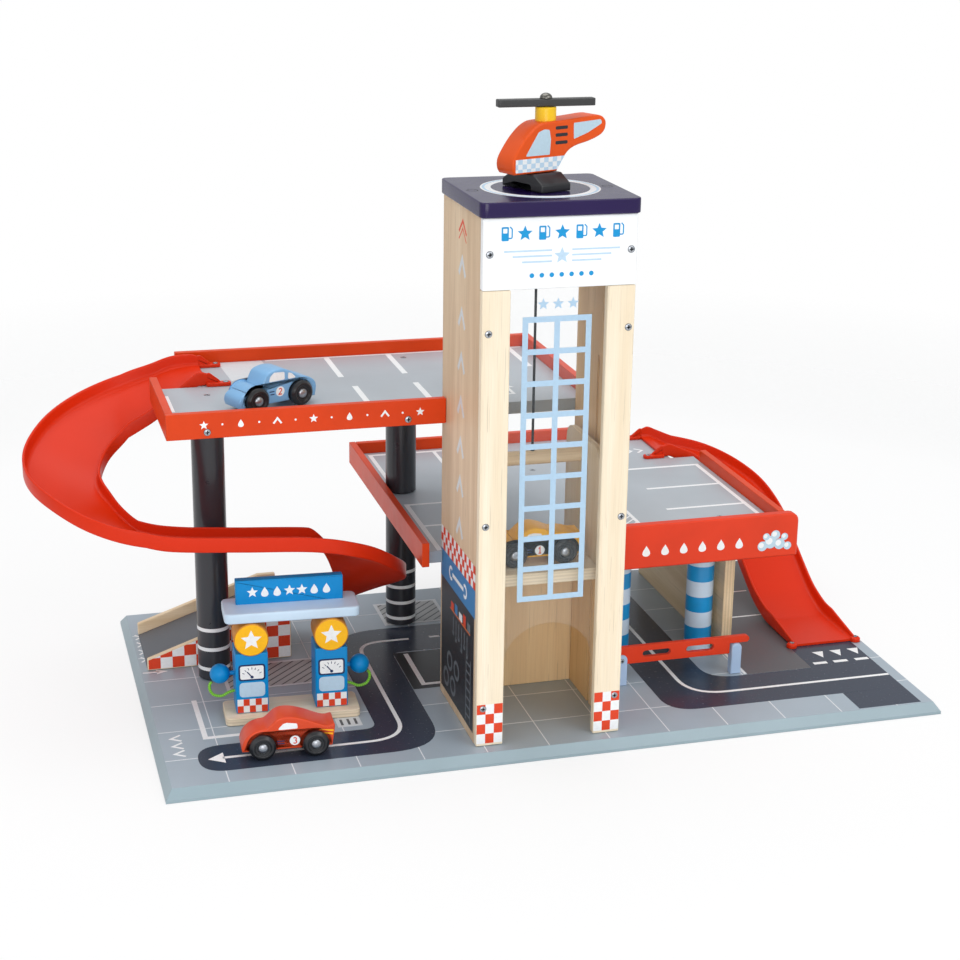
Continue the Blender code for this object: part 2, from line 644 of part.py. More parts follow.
def build_winder(frame, finishes):
    """The drum that winds the lift cord, its shaft through the back header and its knob."""
    drum_front = LIFT_GUIDE_Y - DRUM_LENGTH / 2.0
    knob_near = TOWER_BACK + KNOB_STANDOFF
    to_back = knob_near - LIFT_GUIDE_Y
    half = DRUM_LENGTH / 2.0
    profile = (
        (SHAFT_RADIUS, -half - DRUM_FLANGE * 2.0), (SHAFT_RADIUS, -half - DRUM_FLANGE),
        (DRUM_FLANGE_RADIUS, -half - DRUM_FLANGE), (DRUM_FLANGE_RADIUS, -half),
        (DRUM_RADIUS, -half), (DRUM_RADIUS, half),
        (DRUM_FLANGE_RADIUS, half), (DRUM_FLANGE_RADIUS, half + DRUM_FLANGE),
        (SHAFT_RADIUS, half + DRUM_FLANGE), (SHAFT_RADIUS, to_back),
        (KNOB_RADIUS, to_back), (KNOB_RADIUS, to_back + KNOB_LENGTH * 0.8),
        (KNOB_RADIUS * 0.8, to_back + KNOB_LENGTH),
    )
    centre = (WINDER_X, drum_front + half, WINDER_Z)
    piece("lift_winder", turned(profile, "y", 24), finishes["wood"], frame, centre, smooth=True)

    low = LIFT_FLOOR_HEIGHT + CROSSBAR_ABOVE_FLOOR + LIFT_CORD_LOW_END
    heights = np.linspace(low, WINDER_Z, CORD_STEPS)
    points = [(TOWER_CENTRE_X, LIFT_GUIDE_Y, height) for height in heights]
    tube("lift_cord", points, CORD_RADIUS, finishes["cord"], frame)


def build_upper_deck(frame, finishes):
    """The upper parking deck, its four rails and the columns under it."""
    rail = RAIL_THICKNESS
    left, right = UPPER_DECK_LEFT + rail + SEAT_GAP, UPPER_DECK_RIGHT - rail - SEAT_GAP
    front, back = UPPER_DECK_FRONT + rail + SEAT_GAP, UPPER_DECK_BACK - rail - SEAT_GAP
    low, top = UPPER_DECK_UNDERSIDE, UPPER_DECK_TOP
    mouth_y = LEFT_MOUTH_Y - CHANNEL_HALF_WIDTH - SLIDING_GAP
    beside_tower, behind_tower = TOWER_LEFT - SEAT_GAP, TOWER_BACK + SEAT_GAP
    outline = (
        (left, front), (beside_tower, front), (beside_tower, behind_tower), (right, behind_tower),
        (right, back), (UPPER_MOUTH_EDGE, back), (UPPER_MOUTH_EDGE, mouth_y), (left, mouth_y),
    )
    piece("upper_deck", prism(outline, low, top), finishes["deck"], frame)

    rail_top = UPPER_DECK_UNDERSIDE + RAIL_HEIGHT
    rails = (
        ("upper_front_rail", (UPPER_DECK_LEFT, UPPER_DECK_FRONT, low),
         (beside_tower, UPPER_DECK_FRONT + rail, rail_top)),
        ("upper_left_rail", (UPPER_DECK_LEFT, front, low), (UPPER_DECK_LEFT + rail, mouth_y, rail_top)),
        ("upper_back_rail", (UPPER_BACK_RAIL_LEFT, UPPER_DECK_BACK - rail, low),
         (UPPER_DECK_RIGHT, UPPER_DECK_BACK, rail_top)),
        ("upper_right_rail", (UPPER_DECK_RIGHT - rail, behind_tower, low),
         (UPPER_DECK_RIGHT, back, rail_top)),
    )
    for name, low_corner, high_corner in rails:
        chamfer(piece(name, block(low_corner, high_corner), finishes["red"], frame), 0.0004)

    columns = (
        ("front_column", FRONT_COLUMN, SEAT_GAP, UPPER_DECK_UNDERSIDE - SEAT_GAP),
        ("rear_lower_column", REAR_COLUMN, SEAT_GAP, LOWER_DECK_UNDERSIDE - SEAT_GAP),
        ("rear_upper_column", REAR_COLUMN, LOWER_DECK_TOP + SEAT_GAP, UPPER_DECK_UNDERSIDE - SEAT_GAP),
    )
    for name, (x, y), bottom, top in columns:
        mesh = turned(((COLUMN_RADIUS, bottom), (COLUMN_RADIUS, top)))
        piece(name, mesh, finishes["black"], frame, (x, y, 0.0), smooth=True)


def build_lower_deck(frame, finishes):
    """The lower parking deck, its three rails and the sign board along its front."""
    rail = RAIL_THICKNESS
    left, right = LOWER_DECK_LEFT + rail + SEAT_GAP, LOWER_DECK_RIGHT - rail - SEAT_GAP
    front = LOWER_DECK_FRONT + WASH_SIGN_THICKNESS + SEAT_GAP
    back = LOWER_DECK_BACK - rail - SEAT_GAP
    low, top = LOWER_DECK_UNDERSIDE, LOWER_DECK_TOP
    mouth_y = RIGHT_SLIDE_MOUTH_Y - CHANNEL_HALF_WIDTH - SLIDING_GAP * 4.0
    tower_left, tower_right = TOWER_LEFT - SEAT_GAP, TOWER_RIGHT + SEAT_GAP
    behind_tower = TOWER_BACK + SEAT_GAP
    outline = (
        (left, front), (tower_left, front), (tower_left, behind_tower), (tower_right, behind_tower),
        (tower_right, front), (right, front), (right, mouth_y), (LOWER_MOUTH_EDGE, mouth_y),
        (LOWER_MOUTH_EDGE, back), (left, back),
    )
    deck = piece("lower_deck", prism(outline, low, top), finishes["deck"], frame)
    hole = ROLLER_PIN_RADIUS + RUNNING_GAP
    depth = ROLLER_PIN_LENGTH + SEAT_GAP
    for x in ROLLER_XS:
        cutter = turned(((hole, -depth), (hole, depth)), sides=SMALL_SIDES)
        boolean(deck, cutter, "DIFFERENCE", (x, ROLLER_Y, low))

    rail_top = low + RAIL_HEIGHT
    rails = (
        ("lower_left_rail", (LOWER_DECK_LEFT, LOWER_DECK_FRONT, low),
         (LOWER_DECK_LEFT + rail, LOWER_DECK_BACK, rail_top)),
        ("lower_back_rail", (left, LOWER_DECK_BACK - rail, low),
         (LOWER_BACK_RAIL_RIGHT, LOWER_DECK_BACK, rail_top)),
        ("lower_right_rail", (LOWER_DECK_RIGHT - rail, front, low),
         (LOWER_DECK_RIGHT, mouth_y - CHANNEL_HALF_WIDTH * 0.47, rail_top)),
    )
    for name, low_corner, high_corner in rails:
        chamfer(piece(name, block(low_corner, high_corner), finishes["red"], frame), 0.0004)

    sign_low, sign_top = low - WASH_SIGN_DROP, rail_top
    sign_right = LOWER_DECK_RIGHT + WASH_SIGN_OVERHANG
    outline = rounded_outline(tower_right, sign_low, sign_right, sign_top, (0.0, 0.0, WASH_SIGN_CORNER, 0.0))
    mesh = prism(outline, LOWER_DECK_FRONT, LOWER_DECK_FRONT + WASH_SIGN_THICKNESS, "y")
    chamfer(piece("wash_sign", mesh, finishes["red"], frame), 0.0010)


def fall_at(share, table):
    """Read a fall from its table with a smooth, never rising curve."""
    along = np.array([row[0] for row in table])
    fall = np.array([row[1] for row in table])
    slope = np.diff(fall) / np.diff(along)
    tangent = np.zeros(len(along))
    tangent[1:-1] = np.where(slope[:-1] * slope[1:] > 0.0,
                             2.0 * slope[:-1] * slope[1:] / np.maximum(slope[:-1] + slope[1:], 1e-9), 0.0)
    index = np.clip(np.searchsorted(along, share, side="right") - 1, 0, len(along) - 2)
    width = along[index + 1] - along[index]
    t = (share - along[index]) / width
    return ((2 * t ** 3 - 3 * t ** 2 + 1) * fall[index] + (t ** 3 - 2 * t ** 2 + t) * width * tangent[index]
            + (-2 * t ** 3 + 3 * t ** 2) * fall[index + 1] + (t ** 3 - t ** 2) * width * tangent[index + 1])


def plan_path(start, heading, legs, steps):
    """Walk straight legs and turns over the ground.

    Each leg is (length, 0) for a straight run or (radius, degrees) for a turn, positive to
    the left. Returns points, unit headings and the share of the path at each point.
    """
    lengths = [size if turn == 0 else abs(math.radians(turn)) * size for size, turn in legs]
    total = sum(lengths)
    points, headings = [], []
    for distance in np.linspace(0.0, total, steps):
        x, y, angle, left = start[0], start[1], heading, distance
        for (size, turn), length in zip(legs, lengths):
            done = min(left, length)
            if turn == 0:
                x += done * math.cos(angle)
                y += done * math.sin(angle)
            else:
                way = math.copysign(1.0, turn)
                swung = way * done / size
                x += size * way * (math.sin(angle + swung) - math.sin(angle))
                y += size * way * (math.cos(angle) - math.cos(angle + swung))
                angle += swung
            left -= done
            if left <= 0.0:
                break
        points.append((x, y))
        headings.append((math.cos(angle), math.sin(angle)))
    return np.array(points), np.array(headings), np.linspace(0.0, 1.0, steps), total


def channel(path, heights, wall_heights, leans):
    """Sweep an open channel of two walls and a floor along a path.

    At each point its left side lies below its right side by that point's lean.
    """
    points, headings = path
    half, wall, floor = CHANNEL_HALF_WIDTH, CHANNEL_WALL, CHANNEL_FLOOR
    vertices, faces = [], []
    for (x, y), (along_x, along_y), z, rise, lean in zip(points, headings, heights, wall_heights, leans):
        section = ((-half, 0.0), (half, 0.0), (half, floor + rise), (half - wall, floor + rise),
                   (half - wall, floor), (wall - half, floor), (wall - half, floor + rise), (-half, floor + rise))
        for across, up in section:
            lowered = lean * (half - across) / (2.0 * half)
            vertices.append((x + along_y * across, y - along_x * across, z + up - lowered))
    size = 8
    for ring in range(len(points) - 1):
        for corner in range(size):
            after = (corner + 1) % size
            first = ring * size
            faces.append((first + corner, first + after, first + size + after, first + size + corner))
    last = (len(points) - 1) * size
    for first in (0, last):
        faces.append((first, first + 1, first + 4, first + 5))
        faces.append((first + 1, first + 2, first + 3, first + 4))
        faces.append((first, first + 5, first + 6, first + 7))
    return mesh_from(vertices, faces)


def add_ears(slide, mouth_x, mouth_y, way, deck_top):
    """Join the two ears that hold a slide's mouth to its deck, reaching way from the mouth."""
    reach = CHANNEL_HALF_WIDTH + EAR_OUTSIDE
    ends = sorted((mouth_x - way * CHANNEL_WALL, mouth_x + way * EAR_LENGTH))
    for side in (-1.0, 1.0):
        edges = sorted((mouth_y + side * reach, mouth_y + side * (reach - EAR_WIDTH)))
        ear = block((ends[0], edges[0], deck_top + SEAT_GAP), (ends[1], edges[1], deck_top + EAR_THICKNESS))
        boolean(slide, ear, "UNION")


def build_slides(frame, finishes):
    """The two moulded slides: a full loop down to the ramp, and a quarter turn to the road."""
    mouth_distance, mouth_share = zip(*MOUTH_RISE)
    top = UPPER_DECK_TOP + SEAT_GAP
    foot = RAMP_HEIGHT + SEAT_GAP
    mouth_x = UPPER_MOUTH_EDGE + MOUTH_OVERLAP
    run_in = mouth_x - LEFT_TURN_X
    run_out = RIGHT_TURN_X - (RAMP_RIGHT - RAMP_TOP_FLAT / 3.0)
    turn = (LEFT_TURN_RADIUS, 180)
    legs = ((run_in, 0), turn, (RIGHT_TURN_X - LEFT_TURN_X, 0), turn, (run_out, 0))
    points, headings, share, total = plan_path((mouth_x, LEFT_MOUTH_Y), math.pi, legs, CHANNEL_STEPS)
    heights = top + (foot - top) * fall_at(share, LEFT_SLIDE_FALL)
    rise = np.interp(share * total, mouth_distance, mouth_share) * CHANNEL_WALL_HEIGHT
    rise = np.minimum(rise, CHANNEL_LOW_WALL + (1.0 - share) * total * 0.6)
    lean = np.interp(share, *zip(*LEFT_SLIDE_LEAN))
    mesh = channel((points, headings), heights, rise, lean)
    slide = piece("left_slide", mesh, finishes["moulded_red"], frame, smooth=True)
    add_ears(slide, mouth_x, LEFT_MOUTH_Y, 1.0, UPPER_DECK_TOP)

    top = LOWER_DECK_TOP + SEAT_GAP
    foot = SEAT_GAP
    turn_x = RIGHT_SLIDE_X - TURN_RADIUS
    start_x = LOWER_MOUTH_EDGE - MOUTH_OVERLAP
    run_out = RIGHT_SLIDE_MOUTH_Y - TURN_RADIUS - RIGHT_SLIDE_TOE_Y
    legs = ((turn_x - start_x, 0), (TURN_RADIUS, -90), (run_out, 0))
    points, headings, share, total = plan_path((start_x, RIGHT_SLIDE_MOUTH_Y), 0.0, legs, CHANNEL_STEPS)
    heights = top + (foot - top) * fall_at(share, RIGHT_SLIDE_FALL)
    rise = np.interp(share * total, mouth_distance, mouth_share) * CHANNEL_WALL_HEIGHT
    rise = np.minimum(rise, CHANNEL_LOW_WALL + (1.0 - share) * total * 0.16)
    mesh = channel((points, headings), heights, rise, 0.0 * share)
    slide = piece("right_slide", mesh, finishes["moulded_red"], frame, smooth=True)
    add_ears(slide, start_x, RIGHT_SLIDE_MOUTH_Y, -1.0, LOWER_DECK_TOP)


def build_ramp(frame, finishes):
    """The ramp from the road to the left slide: a bed between two guards."""
    knee = RAMP_RIGHT - RAMP_TOP_FLAT
    thick = RAMP_BED_THICKNESS
    slope = (RAMP_HEIGHT - SEAT_GAP) / (knee - RAMP_LEFT)
    toe = RAMP_LEFT + thick / slope
    bed = ((RAMP_LEFT, SEAT_GAP), (toe, SEAT_GAP), (knee, RAMP_HEIGHT - thick), (RAMP_RIGHT, RAMP_HEIGHT - thick),
           (RAMP_RIGHT, RAMP_HEIGHT), (knee, RAMP_HEIGHT))
    inner_front = RAMP_FRONT + GUARD_THICKNESS + SEAT_GAP
    inner_back = RAMP_BACK - GUARD_THICKNESS - SEAT_GAP
    piece("ramp_bed", prism(bed, inner_front, inner_back, "y"), finishes["board"], frame)

    top = RAMP_HEIGHT + GUARD_ABOVE_BED
    guard = ((RAMP_LEFT, SEAT_GAP), (RAMP_RIGHT, SEAT_GAP), (RAMP_RIGHT, top), (knee, top),
             (RAMP_LEFT, GUARD_ABOVE_BED))
    for name, low in (("ramp_near_guard", RAMP_FRONT), ("ramp_far_guard", RAMP_BACK - GUARD_THICKNESS)):
        mesh = prism(guard, low, low + GUARD_THICKNESS, "y")
        chamfer(piece(name, mesh, finishes["wood"], frame), 0.0005)


def build_car_wash(frame, finishes):
    """The wall that carries the lower deck and the two striped rollers."""
    mesh = block((WASH_WALL_LEFT, WASH_WALL_FRONT, SEAT_GAP),
                 (WASH_WALL_LEFT + WASH_WALL_THICKNESS, WASH_WALL_BACK, LOWER_DECK_UNDERSIDE - SEAT_GAP))
    piece("wash_wall", mesh, finishes["ply"], frame)

    low, high = RUNNING_GAP, LOWER_DECK_UNDERSIDE - RUNNING_GAP
    pin = ROLLER_PIN_RADIUS
    profile = ((pin, -ROLLER_PIN_LENGTH), (pin, low), (ROLLER_RADIUS, low),
               (ROLLER_RADIUS, high), (pin, high), (pin, LOWER_DECK_UNDERSIDE + ROLLER_PIN_LENGTH))
    for name, x in zip(("wash_roller_left", "wash_roller_right"), ROLLER_XS):
        piece(name, turned(profile, sides=28), finishes["blue"], frame, (x, ROLLER_Y, 0.0), smooth=True)


def build_barrier(frame, finishes):
    """A slotted post with a pin, the arm that lifts on it and the post its tail rests on."""
    half = BARRIER_POST_WIDTH / 2.0
    depth = BARRIER_POST_DEPTH
    slot_half = BARRIER_ARM_THICKNESS / 2.0 + RUNNING_GAP
    arm_y = BARRIER_POST_FRONT + depth / 2.0
    pivot_z = BARRIER_ARM_BOTTOM + BARRIER_PIVOT_ABOVE_BOTTOM
    posts = []
    for name, x in zip(("barrier_post_left", "barrier_post_right"), BARRIER_POST_XS):
        outline = rounded_outline(-half, SEAT_GAP, half, BARRIER_POST_HEIGHT, (0.0, 0.0, half * 0.9, half * 0.9))
        mesh = prism(outline, -depth / 2.0, depth / 2.0, "y")
        posts.append(piece(name, mesh, finishes["pale_blue"], frame, (x, arm_y, 0.0)))
    slot = block((-depth, -slot_half, BARRIER_ARM_BOTTOM - RUNNING_GAP), (depth, slot_half, 2 * BARRIER_POST_HEIGHT))
    boolean(posts[0], slot, "DIFFERENCE")
    reach = depth / 2.0 - SEAT_GAP
    pin = turned(((BARRIER_PIN_RADIUS, -reach), (BARRIER_PIN_RADIUS, reach)), "y", SMALL_SIDES)
    boolean(posts[0], pin, "UNION", (0.0, 0.0, pivot_z))

    low, high = -BARRIER_PIVOT_ABOVE_BOTTOM, BARRIER_ARM_HEIGHT - BARRIER_PIVOT_ABOVE_BOTTOM
    stop = BARRIER_POST_XS[1] - BARRIER_POST_XS[0] - half - SLIDING_GAP
    tail_low = BARRIER_POST_HEIGHT + SEAT_GAP - pivot_z
    end = stop + BARRIER_TAIL
    nose = (high - tail_low) * 0.6
    outline = [(stop, low), (stop, tail_low), (end - nose / 2.0, tail_low), (end, tail_low + nose / 2.0)]
    for step in range(CORNER_STEPS + 1):
        angle = math.radians(90.0 * step / CORNER_STEPS)
        outline.append((end - nose + nose * math.cos(angle), high - nose + nose * math.sin(angle)))
    outline += [(low / 2.0, high), (low, high + low / 2.0)]
    for step in range(CORNER_STEPS + 1):
        angle = math.radians(180.0 + 90.0 * step / CORNER_STEPS)
        outline.append((-low * math.cos(angle), -low * math.sin(angle)))
    thick = BARRIER_ARM_THICKNESS / 2.0
    arm = piece("barrier_arm", prism(outline, -thick, thick, "y"), finishes["red"], frame,
                (BARRIER_POST_XS[0], arm_y, pivot_z))
    bore = turned(((BARRIER_PIN_RADIUS + RUNNING_GAP, -2 * thick), (BARRIER_PIN_RADIUS + RUNNING_GAP, 2 * thick)),
                  "y", SMALL_SIDES)
    boolean(arm, bore, "DIFFERENCE")
    hole_half = BARRIER_HOLE_HEIGHT / 2.0
    middle = (low + high) / 2.0
    for centre in BARRIER_HOLES_FROM_PIVOT:
        start, finish_x = centre - BARRIER_HOLE_LENGTH / 2.0, centre + BARRIER_HOLE_LENGTH / 2.0
        hole = rounded_outline(start, middle - hole_half, finish_x, middle + hole_half, (hole_half * 0.95,) * 4)
        boolean(arm, prism(hole, -2 * thick, 2 * thick, "y"), "DIFFERENCE")


def build_pump_island(frame, finishes):
    """The loose island: base, pumps with their round tops, canopy with its sign, nozzles, hoses."""
    island = empty("island_frame", frame, (*ISLAND_CENTRE, SEAT_GAP), ISLAND_TURN)
    wide, deep = ISLAND_WIDTH / 2.0, ISLAND_DEPTH / 2.0
    base = prism(rounded_outline(-wide, -deep, wide, deep, (ISLAND_CORNER,) * 4), 0.0, ISLAND_THICKNESS)
    chamfer(piece("island_base", base, finishes["ply"], island), 0.0005)

    pump_low = ISLAND_THICKNESS + SEAT_GAP
    pump_top = pump_low + PUMP_HEIGHT
    disc_z = pump_top + DISC_RADIUS - DISC_SINK
    disc_front = PUMP_FRONT - DISC_PROUD
    half = PUMP_WIDTH / 2.0
    for label, side in (("left", -1.0), ("right", 1.0)):
        x = side * PUMP_SPACING / 2.0
        mesh = block((-half, PUMP_FRONT, pump_low), (half, PUMP_FRONT + PUMP_DEPTH, pump_top))
        pump = piece("pump_" + label, mesh, finishes["blue"], island, (x, 0.0, 0.0))
        disc = turned(((DISC_RADIUS, disc_front), (DISC_RADIUS, disc_front + DISC_DEPTH)), "y")
        boolean(pump, disc, "UNION", (0.0, 0.0, disc_z))
        face = side * half
        for radius, height, depth in ((NOZZLE_PIN_RADIUS, NOZZLE_Z, NOZZLE_PIN_DEPTH), (HOSE_RADIUS, HOSE_Z, HOSE_TAIL)):
            bore = radius + RUNNING_GAP
            cutter = turned(((bore, -depth - SLIDING_GAP), (bore, depth)), "x", SMALL_SIDES)
            boolean(pump, cutter, "DIFFERENCE", (face, NOZZLE_Y, height))
        build_nozzle(island, finishes, label, side, x + face)

    canopy_low = disc_z + DISC_RADIUS + SEAT_GAP
    canopy_top = canopy_low + CANOPY_THICKNESS
    wide = CANOPY_LENGTH / 2.0
    outline = rounded_outline(-wide, disc_front, wide, disc_front + CANOPY_DEPTH, (CANOPY_CORNER,) * 4)
    canopy = piece("pump_canopy", prism(outline, canopy_low, canopy_top), finishes["pale_blue"], island,
                   (CANOPY_SHIFT_X, 0.0, 0.0))
    chamfer(canopy, 0.0008)
    front = disc_front + SIGN_BEHIND_CANOPY_FRONT
    half, tongue = SIGN_LENGTH / 2.0, canopy_top - CANOPY_THICKNESS / 2.0
    sign = block((-half, front, tongue), (half, front + SIGN_THICKNESS, canopy_top + SIGN_HEIGHT))
    boolean(canopy, sign, "UNION", (SIGN_SHIFT_X, 0.0, 0.0))


def build_nozzle(island, finishes, label, side, face):
    """A ball on a pin that plugs into the pump's side, and the hose that follows it."""
    centre = face + side * (NOZZLE_STANDOFF + NOZZLE_RADIUS)
    pin, ball = NOZZLE_PIN_RADIUS, NOZZLE_RADIUS
    start = math.asin(pin / ball)
    profile = [(pin, -ball - NOZZLE_STANDOFF - NOZZLE_PIN_DEPTH)]
    steps = 12
    for step in range(steps):
        angle = start + (math.pi - start) * step / steps
        profile.append((ball * math.sin(angle), -ball * math.cos(angle)))
    profile.append((0.0, ball))
    mesh = turned([(radius, side * along) for radius, along in profile], "x", 24)
    piece("nozzle_" + label, mesh, finishes["blue"], island, (centre, NOZZLE_Y, NOZZLE_Z), smooth=True)

    reach = ball + HOSE_RADIUS + SEAT_GAP
    bend = HOSE_RADIUS * 4.0
    low = HOSE_Z - bend
    route = (
        (face - side * HOSE_TAIL, HOSE_Z), (face - side * HOSE_TAIL / 2.0, HOSE_Z), (face + side * 0.0010, HOSE_Z),
        (face + side * 0.0050, HOSE_Z - 0.0012), (centre - side * 0.0010, low + 0.0008),
        (centre + side * 0.0050, low + 0.0022), (centre + side * reach * 0.86, HOSE_Z + 0.0020),
        (centre + side * reach * 0.88, HOSE_Z + 0.0062), (centre + side * reach * 0.72, NOZZLE_Z - reach * 0.72),
    )
    points = [(x, NOZZLE_Y, z) for x, z in route]
    tube("hose_" + label, smooth_route(points, 14), HOSE_RADIUS, finishes["green"], island)


def build_helicopter(frame, finishes):
    """The helicopter on the roof: skid block, body with mast and pin, and the rotor on the pin."""
    helicopter = empty("helicopter_frame", frame, (HELICOPTER_X, HELICOPTER_Y, ROOF_TOP + SEAT_GAP),
                       HELICOPTER_TURN)
    half, top_half = SKID_WIDTH / 2.0, SKID_TOP_WIDTH / 2.0
    slot = SKID_SLOT_WIDTH / 2.0
    shoulder = SKID_HEIGHT * 0.45
    outline = (
        (-half, 0.0), (-slot, 0.0), (-slot, SKID_SLOT_HEIGHT), (slot, SKID_SLOT_HEIGHT), (slot, 0.0), (half, 0.0),
        (half, shoulder), (top_half, SKID_HEIGHT), (-top_half, SKID_HEIGHT), (-half, shoulder),
    )
    mesh = prism(outline, -SKID_LENGTH / 2.0, SKID_LENGTH / 2.0, "x")
    piece("helicopter_skids", mesh, finishes["black"], helicopter, (SKID_CENTRE, 0.0, 0.0))

    belly = SKID_HEIGHT + SEAT_GAP
    outline = [(x - HELICOPTER_MAST_FROM_NOSE, belly + z) for x, z in HELICOPTER_OUTLINE]
    mesh = prism(outline, -HELICOPTER_THICKNESS / 2.0, HELICOPTER_THICKNESS / 2.0, "y")
    body = piece("helicopter_body", mesh, finishes["red"], helicopter)
    back = belly + max(z for x, z in HELICOPTER_OUTLINE if x < HELICOPTER_MAST_FROM_NOSE)
    mast_top = back + MAST_HEIGHT
    rotor_low = mast_top + RUNNING_GAP
    rotor_top = rotor_low + ROTOR_THICKNESS
    dome_low = rotor_top + RUNNING_GAP
    profile = [(MAST_RADIUS, back - MAST_SINK), (MAST_RADIUS, mast_top), (ROTOR_PIN_RADIUS, mast_top),
               (ROTOR_PIN_RADIUS, dome_low)]
    for step in range(5):
        angle = math.radians(90.0 * step / 5)
        profile.append((DOME_RADIUS * math.cos(angle), dome_low + DOME_RADIUS * 0.8 * math.sin(angle)))
    profile.append((0.0, dome_low + DOME_RADIUS * 0.8))
    boolean(body, turned(profile, "z", 24), "UNION")

    half, wide = ROTOR_LENGTH / 2.0, ROTOR_WIDTH / 2.0
    outline = rounded_outline(-half, -wide, half, wide, (wide * 0.35,) * 4)
    rotor = piece("helicopter_rotor", prism(outline, 0.0, ROTOR_THICKNESS), finishes["black"], helicopter,
                  (0.0, 0.0, rotor_low), ROTOR_TURN - HELICOPTER_TURN)
    bore = ROTOR_PIN_RADIUS + RUNNING_GAP
    cutter = turned(((bore, -ROTOR_THICKNESS), (bore, 2.0 * ROTOR_THICKNESS)), sides=SMALL_SIDES)
    boolean(rotor, cutter, "DIFFERENCE")


def build_car(frame, finishes, name, paint, outline, place, height, turn):
    """A wooden car: a thick side profile on two axles, each with its pair of wheels."""
    car = empty(name + "_frame", frame, (*place, height + SEAT_GAP), turn)
    middle = FRONT_AXLE + WHEELBASE / 2.0
    half = CAR_BODY_WIDTH / 2.0
    side = [(x - middle, z) for x, z in outline]
    body = piece(name + "_body", prism(side, -half, half, "y"), finishes[paint], car)
    bore = AXLE_RADIUS + RUNNING_GAP
    arch = half - WHEEL_ARCH_DEPTH
    tool = ((WHEEL_ARCH_RADIUS, -2 * half), (WHEEL_ARCH_RADIUS, -arch), (bore, -arch),
            (bore, arch), (WHEEL_ARCH_RADIUS, arch), (WHEEL_ARCH_RADIUS, 2 * half))
    inner = arch + RUNNING_GAP
    outer = inner + WHEEL_THICKNESS
    shoulder = WHEEL_THICKNESS * 0.22
    wheels = ((WHEEL_RADIUS - shoulder, -outer), (WHEEL_RADIUS, -outer + shoulder), (WHEEL_RADIUS, -inner),
              (AXLE_RADIUS, -inner), (AXLE_RADIUS, inner), (WHEEL_RADIUS, inner),
              (WHEEL_RADIUS, outer - shoulder), (WHEEL_RADIUS - shoulder, outer))
    for label, way in (("front", -1.0), ("rear", 1.0)):
        x = way * WHEELBASE / 2.0
        boolean(body, turned(tool, "y", 24), "DIFFERENCE", (x, 0.0, WHEEL_RADIUS))
        piece(f"{name}_{label}_wheels", turned(wheels, "y", 24), finishes["tyre"], car,
              (x, 0.0, WHEEL_RADIUS), smooth=True)


def build_cars(frame, finishes):
    """The red car on the road, the blue one on the upper deck and the yellow one in the lift."""
    build_car(frame, finishes, "red_car", "red", RED_CAR_OUTLINE, RED_CAR_PLACE, 0.0, RED_CAR_TURN)
    build_car(frame, finishes, "blue_car", "sky_blue", BLUE_CAR_OUTLINE, BLUE_CAR_PLACE, UPPER_DECK_TOP,
              BLUE_CAR_TURN)
    from_centre = YELLOW_CAR_FROM_TOWER_CENTRE
    place = (TOWER_CENTRE_X + from_centre[0], from_centre[1])
    build_car(frame, finishes, "yellow_car", "yellow", YELLOW_CAR_OUTLINE, place, LIFT_FLOOR_HEIGHT, 0.0)


def main():
    """Build every piece."""
    clear_scene()
    finishes = make_finishes()
    frame = empty("station_frame", None, (-BOARD_WIDTH / 2.0, -BOARD_DEPTH / 2.0, BOARD_THICKNESS))
    build_base(frame, finishes)
    build_tower_shell(frame, finishes)
    build_lift(frame, finishes)
    build_winder(frame, finishes)
    build_upper_deck(frame, finishes)
    build_lower_deck(frame, finishes)
    build_slides(frame, finishes)
    build_ramp(frame, finishes)
    build_car_wash(frame, finishes)
    build_barrier(frame, finishes)
    build_pump_island(frame, finishes)
    build_helicopter(frame, finishes)
    build_cars(frame, finishes)
    bpy.context.view_layer.update()


main()
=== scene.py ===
"""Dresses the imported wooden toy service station: finishes, prints, rounded pieces, light and camera.

Lengths are in metres in the row's frame. Sizes of sub-assemblies are counted in millimetres
from the front left corner of the board's top face, and Place turns them into the row's frame.
"""

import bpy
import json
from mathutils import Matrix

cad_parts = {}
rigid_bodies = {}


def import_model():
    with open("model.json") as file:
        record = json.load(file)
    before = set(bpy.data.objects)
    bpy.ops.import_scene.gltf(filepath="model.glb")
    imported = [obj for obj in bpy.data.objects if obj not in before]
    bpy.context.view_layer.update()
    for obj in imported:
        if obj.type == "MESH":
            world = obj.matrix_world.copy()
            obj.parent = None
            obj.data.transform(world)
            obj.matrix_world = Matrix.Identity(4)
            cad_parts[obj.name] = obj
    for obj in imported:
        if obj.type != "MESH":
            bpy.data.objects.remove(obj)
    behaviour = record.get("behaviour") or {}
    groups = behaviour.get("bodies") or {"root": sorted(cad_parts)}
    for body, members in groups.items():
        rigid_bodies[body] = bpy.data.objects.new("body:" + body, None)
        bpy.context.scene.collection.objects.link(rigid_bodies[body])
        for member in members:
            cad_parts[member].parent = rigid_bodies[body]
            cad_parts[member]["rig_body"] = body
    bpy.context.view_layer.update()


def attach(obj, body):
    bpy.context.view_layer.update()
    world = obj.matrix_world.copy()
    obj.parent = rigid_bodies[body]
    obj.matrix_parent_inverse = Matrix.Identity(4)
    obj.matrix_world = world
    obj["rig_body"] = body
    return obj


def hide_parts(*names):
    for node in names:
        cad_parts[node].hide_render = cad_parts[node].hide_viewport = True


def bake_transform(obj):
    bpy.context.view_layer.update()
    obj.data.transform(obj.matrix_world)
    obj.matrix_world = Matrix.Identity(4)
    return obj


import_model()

import json
import logging
import math
from collections.abc import Sequence
from dataclasses import dataclass, field
from enum import Enum

import bpy
import numpy as np

log = logging.getLogger("station")

